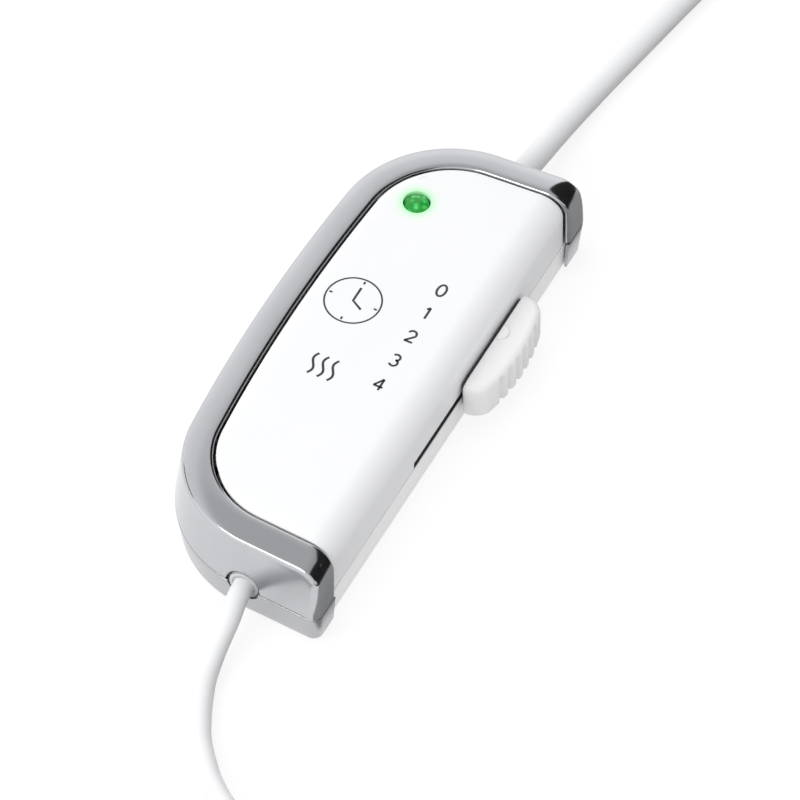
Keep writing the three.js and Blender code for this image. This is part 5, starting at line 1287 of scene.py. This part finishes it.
class UpperTrim:
    """The bright trim as rows of its section, from the parting line over the rim into the lip.

    A row is (share of the wall, inset) on the wall. Above it, it is (None, inset, depth below the crown) along the
    ends and the left side, followed by the inset past the wall and the depth that it has on the flank.
    """

    def __init__(self, housing):
        self.housing = housing
        self.edge = housing.rim_drop + housing.rim_round
        self.rise = housing.height - self.edge - housing.parting
        self.fold = housing.flank_reach - housing.shoulder_reach
        self.rows = self.wall_rows() + self.rim_rows()

    def wall_rows(self):
        small = self.housing.seam_round
        rows = [(up / self.rise, inset) for up, inset in rounding(small, (0, 30, 60))]
        return rows + [(share, 0) for share in spaced(small / self.rise, 1, WALL_STEPS)]

    def rim_rows(self):
        housing, rows = self.housing, []
        corner = housing.right_corner
        for turn in spaced(0, 1, EDGE_STEPS)[1:]:
            a, b = math.radians(RIM_TURN * turn), math.radians(90 * turn)
            rows.append((None, housing.side_draft + housing.rim_round * (1 - math.cos(a)),
                         self.edge - housing.rim_round * math.sin(a),
                         corner * (1 - math.cos(b)), corner * (1 - math.sin(b))))
        inset, depth = rows[-1][1:3]
        lip_start, top = housing.rim_reach - housing.lip_round, CROWN_DEPTH
        for share in spaced(0, 1, RIM_STEPS)[1:]:
            rows.append((None, inset + (lip_start - inset) * share,
                         top + (depth - top) * (1 - share) ** RIM_FALL, corner + (lip_start - corner) * share, 0))
        for turn in spaced(0, housing.lip_turn, LIP_STEPS)[1:]:
            reach, drop = lip_start + housing.lip_round * math.sin(turn), housing.lip_round * (1 - math.cos(turn))
            rows.append((None, reach, top + drop, reach, drop))
        return rows

    def level(self, row):
        """Height and inset of a row along the ends and the left side."""
        if row[0] is None:
            return self.housing.height - row[2], row[1]
        return self.housing.parting + row[0] * self.rise, self.housing.side_draft * row[0] + row[1]

    def path(self):
        """(x, height, x and height of the normal, share of the turn) from the arm's foot up the flank to the fold."""
        housing = self.housing
        low = housing.height - housing.shoulder_rise
        steps = [(housing.flank_reach, z, 1, 0) for z in spaced(housing.parting, low, FLANK_STEPS)[:-1]]
        for a in spaced(math.pi / 2, 0, ROLL_STEPS):
            across, up = math.sin(a) / housing.shoulder_reach, math.cos(a) / housing.shoulder_rise
            size = math.hypot(across, up)
            steps.append((self.fold + housing.shoulder_reach * math.sin(a),
                          low + housing.shoulder_rise * math.cos(a), across / size, up / size))
        runs = [0]
        for here, after in zip(steps, steps[1:]):
            runs.append(runs[-1] + math.dist(here[:2], after[:2]))
        turns = [softened((1 - run / runs[-1]) / ARM_TURN) for run in runs]
        return [(*step, turn) for step, turn in zip(steps, turns)][:-1]

    def arm(self, row):
        """A row's points where the section turns down over the shoulder."""
        housing = self.housing
        draft, rim = housing.side_draft, housing.rim_reach
        plan, path = Plan(housing, 0), self.path()
        points = []
        for i, (x, z, across, up, turn) in enumerate(path):
            deep = self.edge + (housing.right_corner - self.edge) * turn
            edge = (x - across * deep, z - up * deep)
            lean = draft * ((edge[1] - housing.parting) / self.rise) ** ARM_LEAN
            if row[0] is None:
                _, inset, depth, flank_inset, flank_depth = row
                depth += (flank_depth - depth) * turn
                at = (x - across * depth, z - up * depth)
                past = min(1, flank_inset / rim)
                inset -= (draft - lean) * (rim - inset) / (rim - draft)
                inset += (flank_inset + lean * (1 - past) - inset) * turn
            else:
                foot_end = housing.flank_reach - housing.right_corner - 0.3 * MM
                foot = foot_end + (self.fold - foot_end) * i / len(path)
                at = (foot + (edge[0] - foot) * row[0], housing.parting + (edge[1] - housing.parting) * row[0])
                inset = lean * row[0] + row[1]
            points.append((at[0], plan.end_line(at[0]) - inset * plan.stretch, at[1]))
        return points

    def half(self, row, entry):
        """A row's points from the arm's foot on the flank to the tip of the left side."""
        housing = self.housing
        z, inset = self.level(row)
        plan = Plan(housing, inset)
        run = end_run(housing, self.fold, entry)
        outline = [(x, plan.end_at(x)) for x in run] + plan.left_from(run[-1])[1:]
        points = self.arm(row)
        share = 0 if row[0] is None else 1 - row[0]
        for x, y in outline:
            lift = share * entry_arch(housing, x, y)
            points.append((x, y - lift * housing.side_draft / self.rise, z + lift))
        return points

    def line(self, row):
        far, near = [self.half(row, entry) for entry in (self.housing.mains_entry, self.housing.pad_entry)]
        return far + mirrored(near)[1:]


class CONTROLLER_OT_trims(bpy.types.Operator):
    """Bright upper trim and silver lower trim, C-shaped bands round the left side and both ends"""
    bl_idname = "controller.trims"
    bl_label = "Trim Bands"

    def execute(self, context):
        housing = context.scene.controller_housing
        self.upper(housing)
        self.lower(housing)
        return {"FINISHED"}

    def upper(self, housing):
        trim = UpperTrim(housing)
        lines = [trim.line(row) for row in trim.rows]
        points = [p for line in lines for p in line]
        band = mesh_piece("upper_trim", points, grid_faces(len(lines), len(lines[0])))
        thicken(band, housing.trim_wall)
        place(band, "bright_trim", "upper_trim_band", crease=50)

    def lower(self, housing):
        top = housing.parting - housing.parting_gap
        foot, small = housing.trim_foot, housing.seam_round
        rows = [(foot + up, inset) for up, inset in rounding(housing.base_round, (0, 30, 60, 90))]
        rows += [(z, 0) for z in spaced(foot + housing.base_round, top - small, 8)[1:]]
        rows += [(top - down, inset) for inset, down in rounding(small, (30, 60, 90))]
        points, columns = [], 0
        for z, inset in rows:
            deep = (top - z) / top
            outline = trim_outline(housing, housing.lower_taper * deep + inset, housing.flank_taper * deep + inset)
            columns = len(outline)
            share = (z - foot) / (top - foot)
            for x, y in outline:
                drop = share * max(0, entry_arch(housing, x, y) - housing.parting_gap)
                points.append((x, y - math.copysign(drop * housing.lower_taper / top, y), z - drop))
        band = mesh_piece("lower_trim", points, grid_faces(len(rows), columns))
        thicken(band, housing.trim_wall)
        place(band, "silver_trim", "lower_trim_band", crease=50)


class CONTROLLER_OT_cover(bpy.types.Operator):
    """White top cover: panel, rolled shoulder and flank with the slider's slot"""
    bl_idname = "controller.cover"
    bl_label = "Top Cover"

    def execute(self, context):
        housing, slider = context.scene.controller_housing, context.scene.controller_slider
        cover = self.skin(housing, slider)
        thicken(cover, housing.cover_wall)
        cut_away(cover, turned_piece(
            "drill", [(housing.lamp_hole, housing.height - 6 * MM), (housing.lamp_hole, housing.height + 2 * MM)], 64,
            lambda x, y, h: Vector((housing.lamp_x + x, housing.lamp_y + y, h))))
        place(cover, "white_shell", "top_cover", crease=32)
        # a dark strip on the slot's sill paints the shade in the slot
        self.painted_shade(housing, slider)
        return {"FINISHED"}

    def painted_shade(self, housing, slider):
        """A dark strip on the sill of the slot, painted shade that blackens the slot."""
        sill = housing.parting - housing.parting_gap
        outer = housing.flank_reach - housing.trim_step - 0.12 * MM
        wide, run = 2.2 * MM, slider.slot_high - slider.slot_low
        middle = (slider.slot_low + slider.slot_high) / 2
        rings = []
        for inset, up in ((0, 0.02), (0, 0.16), (0.04, 0.23), (0.12, 0.26)):
            less = 2 * inset * MM
            outline = rounded_rectangle(wide - less, run - less, 0.4 * MM, 6)
            rings.append([(outer - wide / 2 + x, middle + y, sill + up * MM) for x, y in outline])
        place(rings_piece("slot_painted_shade", rings), "dark_plastic")

    def skin(self, housing, slider):
        """The cover's outer face, as a grid over the panel, the shoulder and the flank, less the slot."""
        plan = Plan(housing, housing.rim_reach + housing.panel_groove + housing.panel_edge,
                    housing.panel_groove - housing.end_groove)
        top = housing.height - housing.panel_sink
        face = housing.flank_reach - housing.trim_step
        fold = face - housing.shoulder_reach
        end = plan.end_line(fold)
        before, beside, past = SLOT_ROWS
        rows_y = spaced(-end, slider.slot_low, before) + spaced(slider.slot_low, slider.slot_high, beside)[1:]
        rows_y += spaced(slider.slot_high, end, past)[1:]
        shares = [(y + end) / (2 * end) for y in rows_y]
        near, far, left = self.sides(plan, fold, shares)
        profile, first_slot = self.profile(housing, slider, top, face)
        points = []
        for row, (share, y) in enumerate(zip(shares, rows_y)):
            right = Vector((fold, y))
            for column, u in enumerate(spaced(0, 1, PANEL_COLUMNS)):
                across = left[row].lerp(right, u)
                along = near[column].lerp(far[column], share)
                corners = near[0].lerp(near[-1], u).lerp(far[0].lerp(far[-1], u), share)
                spot = across + along - corners
                gap = min((spot - left[row]).length, (spot - far[column]).length, (spot - near[column]).length)
                points.append((spot.x, spot.y, top - self.edge_drop(housing, gap)))
            drop = self.edge_drop(housing, end - abs(y))
            pull = (abs(y) / end) ** 6 * (1 if y > 0 else -1)
            for x, z, out in profile:
                shift = (plan.end_line(x) - end) * pull
                points.append((x - drop * out, y + shift, z - drop * (1 - out)))
        wide = PANEL_COLUMNS + 1 + len(profile)
        faces = []
        for quad in grid_faces(len(rows_y), wide):
            row, column = divmod(quad[0], wide)
            if not (before <= row < before + beside and column >= first_slot):
                faces.append(quad)
        self.turn_edge(points, faces, len(rows_y), wide, housing)
        return mesh_piece("cover_skin", points, faces)

    def sides(self, plan, fold, shares):
        """The panel's near end, far end and bowed left side, in the grid's steps."""
        straight = [(x, plan.end_at(x)) for x in spaced(fold, plan.x, 20)]
        corner = plan.left_from(plan.x)
        split = next(i for i, (x, y) in enumerate(corner) if y - plan.y < plan.large * 0.7)
        far = list(reversed(straight + corner[1:split + 1]))
        left = corner[split:]
        left = [(x, -y) for x, y in left] + list(reversed(left))[1:]
        columns = spaced(0, 1, PANEL_COLUMNS)
        return resample([(x, -y) for x, y in far], columns), resample(far, columns), resample(left, shares)

    def profile(self, housing, slider, top, face):
        """(x, height, share of the turn) over the shoulder and down the flank, and the slot's first column."""
        high = housing.shoulder_rise * (top - housing.parting) / (housing.height - housing.parting)
        fold = face - housing.shoulder_reach
        rows = []
        for a in spaced(0, math.pi / 2, SHOULDER_STEPS)[1:]:
            rows.append((fold + housing.shoulder_reach * math.sin(a), top - high * (1 - math.cos(a)), math.sin(a)))
        rows += [(face, z, 1) for z in spaced(top - high, slider.slot_top, 6)[1:]]
        first_slot = PANEL_COLUMNS + len(rows)
        return rows + [(face, z, 1) for z in spaced(slider.slot_top, housing.parting, 3)[1:]], first_slot

    def edge_drop(self, housing, gap):
        """How far the panel lies below its crown at a distance from its edge."""
        return housing.panel_crown * (1 - min(1, gap / housing.crown_reach)) ** 2

    def turn_edge(self, points, faces, rows, wide, housing):
        """The panel's edge rolls down into the groove, from the far flank round the left side to the near flank."""
        def at(row, column):
            return row * wide + column
        border = [(at(rows - 1, c), at(rows - 2, c)) for c in range(wide - 1, 0, -1)]
        border += [(at(rows - 1, 0), at(rows - 2, 1))]
        border += [(at(r, 0), at(r, 1)) for r in range(rows - 2, 0, -1)]
        border += [(at(0, 0), at(1, 1))]
        border += [(at(0, c), at(1, c)) for c in range(1, wide)]
        frames = []
        for i, (edge, inner) in enumerate(border):
            before = Vector(points[border[max(i - 1, 0)][0]])
            after = Vector(points[border[min(i + 1, len(border) - 1)][0]])
            along = (after - before).normalized()
            out = Vector(points[edge]) - Vector(points[inner])
            out = (out - along * out.dot(along)).normalized()
            frames.append((edge, out, out.cross(along).normalized()))
        last = [edge for edge, _, _ in frames]
        size = housing.panel_edge
        steps = [(size - back, down) for down, back in rounding(size, (22.5, 45, 67.5))]
        steps += [(size, size), (size, size + PANEL_SKIRT)]
        for outwards, down in steps:
            ring = []
            for edge, out, up in frames:
                ring.append(len(points))
                points.append(tuple(Vector(points[edge]) + out * outwards - up * down))
            for i in range(len(ring) - 1):
                faces.append((last[i], ring[i], ring[i + 1], last[i + 1]))
            last = ring


class CONTROLLER_OT_knob(bpy.types.Operator):
    """Thumb knob of the heat slider, with grip grooves and a half-round index mark"""
    bl_idname = "controller.knob"
    bl_label = "Slider Knob"

    def execute(self, context):
        housing, slider = context.scene.controller_housing, context.scene.controller_slider
        face = housing.flank_reach - housing.trim_step + slider.running_gap
        foot, top = slider.knob_lift, slider.knob_lift + slider.knob_height
        rows = [(foot + up, inset) for up, inset in rounding(slider.foot_edge, spaced(0, 90, FOOT_STEPS)[:-1])]
        rows += [(z, 0) for z in spaced(foot + slider.foot_edge, top - slider.top_edge, SIDE_STEPS)]
        rows += [(top - down, inset) for inset, down in rounding(slider.top_edge, spaced(0, 90, TOP_STEPS)[1:])]
        rings = []
        for z, inset in rows:
            outline = self.outline(slider, face, inset, z, top)
            rings.append([(x, y + slider.off_place, z) for x, y in outline])
        place(rings_piece("knob", rings), "knob_white", "slider_knob", body="slider", crease=50)
        self.mark(slider, face, top)
        # a dark plate behind the knob paints the shade of the running gap
        self.painted_gap_shade(slider, face, top)
        return {"FINISHED"}

    def mark(self, slider, face, top):
        """The half-round index mark on the knob's top."""
        centre = (face + slider.relief + slider.back_edge, slider.off_place + slider.mark_shift)
        edge, crown = 0.15 * MM, top + slider.mark_height
        half, inner = [arc(centre, slider.mark_radius - less, -math.pi / 2, math.pi / 2, 28) for less in (0, edge)]
        levels = [(half, top - 0.4 * MM), (half, crown - edge), (inner, crown)]
        mark = rings_piece("knob_mark", [[(x, y, z) for x, y in plan] for plan, z in levels])
        place(mark, "knob_white", body="slider")

    def painted_gap_shade(self, slider, face, top):
        """A dark plate in the gap behind the knob, painted shade that blackens the running gap."""
        inner, thick = face + 0.05 * MM, slider.relief + 0.15 * MM
        wide, high = slider.knob_length - 2.4 * MM, slider.knob_height - 2.2 * MM
        middle = top - 0.7 * MM - high / 2
        outline = rounded_rectangle(wide, high, 1.2 * MM, 8)
        rings = [[(x, slider.off_place + y, middle + z) for y, z in outline] for x in (inner, inner + thick)]
        place(rings_piece("knob_painted_gap_shade", rings), "dark_plastic", body="slider")

    def outline(self, slider, face, inset, z, top):
        """The knob's plan at a height, counterclockwise from its near end."""
        half = slider.knob_length / 2 - inset
        reach = slider.knob_reach - slider.running_gap - slider.knob_bow - inset
        relief = slider.relief + min(inset, slider.back_edge) / 3
        inner, outer = face + relief, face + reach
        round_end = min(slider.end_round, reach - relief - slider.back_edge - 0.1 * MM)
        corner = arc((outer - round_end, half - round_end), round_end, math.pi / 6, math.pi / 2, 14)
        start_x, start_y = corner[0]
        fade = softened((top - slider.grip_top - z) / (1.6 * MM))
        front = []
        for y in spaced(-start_y, start_y, GRIP_STEPS)[1:-1]:
            share = (1 + y / start_y) / 2
            x = start_x + (slider.knob_bow + outer - start_x) * math.sin(math.pi * share) ** 0.8
            front.append((x - fade * self.groove(slider, y), y))
        edge = slider.back_edge
        back = arc((inner + edge, half - edge), edge, math.pi / 2, math.pi, 6)
        middle = [(inner, y) for y in spaced(half - edge, edge - half, 12)[1:-1]]
        return [*mirrored(corner), *front, *corner, *back, *middle, *mirrored(back)]

    def groove(self, slider, y):
        """Depth of the grip grooves at a place along the knob."""
        deepest = 0
        for i in range(slider.grip_count):
            away = abs(y - (i - (slider.grip_count - 1) / 2) * slider.grip_pitch) / (slider.grip_width / 2)
            if away < 1:
                deepest = slider.grip_depth * math.cos(away * math.pi / 2) ** 0.45
        return deepest


class CONTROLLER_OT_lens(bpy.types.Operator):
    """Green lens of the lamp, flush in the panel"""
    bl_idname = "controller.lens"
    bl_label = "Lamp Lens"

    def execute(self, context):
        housing = context.scene.controller_housing
        low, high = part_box("led_lens")
        reach, neck, bevel = (high.x - low.x) / 2, housing.lamp_hole - 0.3 * MM, 0.15 * MM
        point, seat, crown, dome = 0.02 * MM, low.z + 1.4 * MM, high.z + bevel, 0.9 * MM
        profile = [(point, low.z), (reach - bevel, low.z), (reach, low.z + bevel), (reach, seat), (neck, seat)]
        for a in spaced(0, math.pi / 2, 12)[:-1]:
            profile.append((neck * math.cos(a), crown - dome * (1 - math.sin(a))))
        lens = turned_piece("lamp_lens", [*profile, (point, crown)], 64,
                            lambda x, y, h: Vector((housing.lamp_x + x, housing.lamp_y + y, h)))
        place(lens, "lamp_green", "led_lens", crease=45)
        return {"FINISHED"}


class CONTROLLER_OT_bushes(bpy.types.Operator):
    """Moulded bushes where the leads enter the housing"""
    bl_idname = "controller.bushes"
    bl_label = "Lead Bushes"

    def execute(self, context):
        housing, leads = context.scene.controller_housing, context.scene.controller_leads
        end = housing.end_reach + housing.end_slant * housing.entry_x
        for name, node_name, way, cord, opening in (
                ("mains_lead_bush", "mains_bush", 1, leads.mains_diameter, housing.mains_entry),
                ("pad_lead_bush", "pad_bush", -1, leads.pad_diameter, housing.pad_entry)):
            neck, face, flange = opening - 0.3 * MM, end - 0.6 * MM, end - 5.8 * MM
            inner, core, rim = end - 21 * MM, cord / 2, neck + 1.8 * MM
            profile = [
                (0.05 * MM, inner), (core, inner), (core, flange - 1.6 * MM), (rim, flange - 1.6 * MM), (rim, flange),
                (neck, flange), (neck, face - 0.4 * MM), (neck - 0.12 * MM, face - 0.12 * MM),
                (neck - 0.4 * MM, face), (core + 0.5 * MM, face), (core + 0.2 * MM, face - 0.3 * MM),
                (0.05 * MM, face - 0.3 * MM)]
            bush = turned_piece(name, profile, 48, lambda x, y, h, way=way: Vector(
                (housing.entry_x + x, way * h, housing.parting - way * y)))
            place(bush, "bush_grey", node_name)
        return {"FINISHED"}


class CONTROLLER_OT_print(bpy.types.Operator):
    """Printed signs on the panel: step numbers, a clock ring and three heat waves"""
    bl_idname = "controller.print"
    bl_label = "Panel Print"

    def execute(self, context):
        housing = context.scene.controller_housing
        level = housing.height - housing.panel_sink
        for step, y in enumerate(STEP_PLACES):
            self.strokes(f"print_step_{step}", self.number(step, STEP_X, y), level)
        self.strokes("print_clock", self.clock(*CLOCK_AT, CLOCK_RADIUS), level)
        self.strokes("print_heat_waves", self.waves(*WAVES_AT), level)
        return {"FINISHED"}

    def number(self, step, x, y):
        """Strokes of a step's number, drawn on a height of one."""
        def bow(centre, radius, start, end):
            return arc(centre, radius, math.radians(start), math.radians(end), 20)
        drawn = [
            [[(0.3 * math.cos(i * math.pi / 24), 0.5 * math.sin(i * math.pi / 24)) for i in range(49)]],
            [[(-0.14, 0.3), (0.07, 0.5)], [(0.07, 0.5), (0.07, -0.5)]],
            [[*bow((0, 0.22), 0.28, 170, -35), (-0.27, -0.46)], [(-0.31, -0.46), (0.31, -0.46)]],
            [bow((-0.02, 0.24), 0.26, 150, -80), bow((-0.02, -0.22), 0.28, 85, -150)],
            [[(0.14, -0.5), (0.14, 0.5)], [(0.14, 0.5), (-0.32, -0.2)], [(-0.35, -0.2), (0.34, -0.2)]],
        ][step]
        return [([(x + across * STEP_HIGH, y + up * STEP_HIGH) for across, up in line], STEP_STROKE) for line in drawn]

    def clock(self, x, y, radius):
        """A ring with two hands and four ticks."""
        hands = [(x, y + radius * 0.62), (x, y), (x + radius * 0.42, y - radius * 0.24)]
        lines = [(arc((x, y), radius, 0, 2 * math.pi, 64), RING_STROKE), (hands, HAND_STROKE)]
        for i in range(4):
            a = i * math.pi / 2
            tick = [(x + r * radius * math.cos(a), y + r * radius * math.sin(a)) for r in (0.8, 0.92)]
            lines.append((tick, TICK_STROKE))
        return lines

    def waves(self, x, y):
        """Three upright waves side by side."""
        lines = []
        for i in (-1, 0, 1):
            line = []
            for share in spaced(0, 1, 24):
                sway = WAVE_SWAY * math.sin(share * 2 * math.pi)
                line.append((x + i * WAVE_PITCH + sway, y + (share - 0.5) * WAVE_HIGH))
            lines.append((line, WAVE_STROKE))
        return lines

    def strokes(self, name, lines, level):
        """Thin raised strokes of ink along flat lines in millimetres."""
        points, faces = [], []
        low, high = level - INK_SINK * MM, level + INK_RISE * MM
        for line, wide in lines:
            first = len(points)
            run = [Vector(spot) * MM for spot in line]
            shut = math.dist(line[0], line[-1]) < 1e-4
            if shut:
                run.pop()
            count = len(run)
            for i, spot in enumerate(run):
                before = run[i - 1] if shut or i else spot
                after = run[(i + 1) % count] if shut or i < count - 1 else spot
                along = (after - before).normalized()
                side = Vector((-along.y, along.x)) * wide * MM / 2
                for sign, z in ((1, low), (-1, low), (-1, high), (1, high)):
                    points.append((*(spot + sign * side), z))
            faces += [tuple(first + corner for corner in quad) for quad in grid_faces(count, 4, True, shut)]
            if not shut:
                last = first + 4 * (count - 1)
                faces += [(first + 3, first + 2, first + 1, first), (last, last + 1, last + 2, last + 3)]
        place(mesh_piece(name, points, faces), "dark_plastic", finish="print_ink")


class CONTROLLER_OT_screws(bpy.types.Operator):
    """Cross-recess screws under the housing"""
    bl_idname = "controller.screws"
    bl_label = "Housing Screws"

    def execute(self, context):
        names = [f"housing_screw_{i}" for i in range(1, 5)]
        boxes = [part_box(name) for name in names]
        head = (boxes[0][1].x - boxes[0][0].x) / 2
        head_height = 2 * MM
        points = [((a.x + b.x) / 2, (a.y + b.y) / 2, a.z + head_height) for a, b in boxes]
        screws = grow("housing_screws", screw_tree(), points, {
            "Head Radius": head, "Head Height": head_height, "Shank Radius": 1.5 * MM,
            "Shank Length": boxes[0][1].z - boxes[0][0].z - head_height, "Recess Width": 0.8 * MM}, "screw_steel")
        place(screws, "screw_steel", *names)
        return {"FINISHED"}


class CONTROLLER_OT_finishes(bpy.types.Operator):
    """Materials of all slots, on the pieces that stay as they are in the frame"""
    bl_idname = "controller.finishes"
    bl_label = "Finishes"

    def execute(self, context):
        slots = context.scene.controller_slots
        slots.clear()
        for name, material in all_finishes(context.scene).items():
            entry = slots.add()
            entry.name = name
            entry.material = material
        for part in frame["record"]["subparts"]:
            piece = frame["nodes"][part["node"]]
            if not piece.material_slots:
                piece.data.materials.append(None)
            for holder in piece.material_slots:
                holder.material = finish_of(part["material_slot"])
        return {"FINISHED"}


class CONTROLLER_OT_declare(bpy.types.Operator):
    """Does nothing: the leads' length, thickness and pieces are not stated here"""
    bl_idname = "controller.declare"
    bl_label = "Declare Leads"

    def execute(self, context):
        return {"FINISHED"}


class CONTROLLER_PT_panel(bpy.types.Panel):
    bl_idname = "CONTROLLER_PT_panel"
    bl_label = "Heating Pad Controller"
    bl_space_type = "VIEW_3D"
    bl_region_type = "UI"
    bl_category = "Controller"

    def draw(self, context):
        for operator in OPERATORS:
            self.layout.operator(operator.bl_idname)
        for label in SETTINGS:
            group = getattr(context.scene, label)
            column = self.layout.box().column(align=True)
            for name in group.__annotations__:
                column.prop(group, name)


OPERATORS = (
    CONTROLLER_OT_stage, CONTROLLER_OT_finishes, CONTROLLER_OT_leads, CONTROLLER_OT_ties, CONTROLLER_OT_plug,
    CONTROLLER_OT_connector, CONTROLLER_OT_declare, CONTROLLER_OT_trims, CONTROLLER_OT_cover, CONTROLLER_OT_knob,
    CONTROLLER_OT_lens, CONTROLLER_OT_bushes, CONTROLLER_OT_print, CONTROLLER_OT_screws,
)
SETTINGS = {
    "controller_housing": HousingSizes,
    "controller_slider": SliderSizes,
    "controller_leads": LeadSizes,
    "controller_finishes": Finishes,
    "controller_stage": StageSettings,
}
CLASSES = (*SETTINGS.values(), ControllerSlot, *OPERATORS, CONTROLLER_PT_panel)


def register():
    for cls in CLASSES:
        bpy.utils.register_class(cls)
    for label, group in SETTINGS.items():
        setattr(bpy.types.Scene, label, bpy.props.PointerProperty(type=group))
    bpy.types.Scene.controller_slots = bpy.props.CollectionProperty(type=ControllerSlot)


def unregister():
    del bpy.types.Scene.controller_slots
    for label in SETTINGS:
        delattr(bpy.types.Scene, label)
    for cls in reversed(CLASSES):
        bpy.utils.unregister_class(cls)


def main():
    register()
    for operator in OPERATORS:
        group, name = operator.bl_idname.split(".")
        getattr(getattr(bpy.ops, group), name)()


if __name__ == "__main__":
    main()
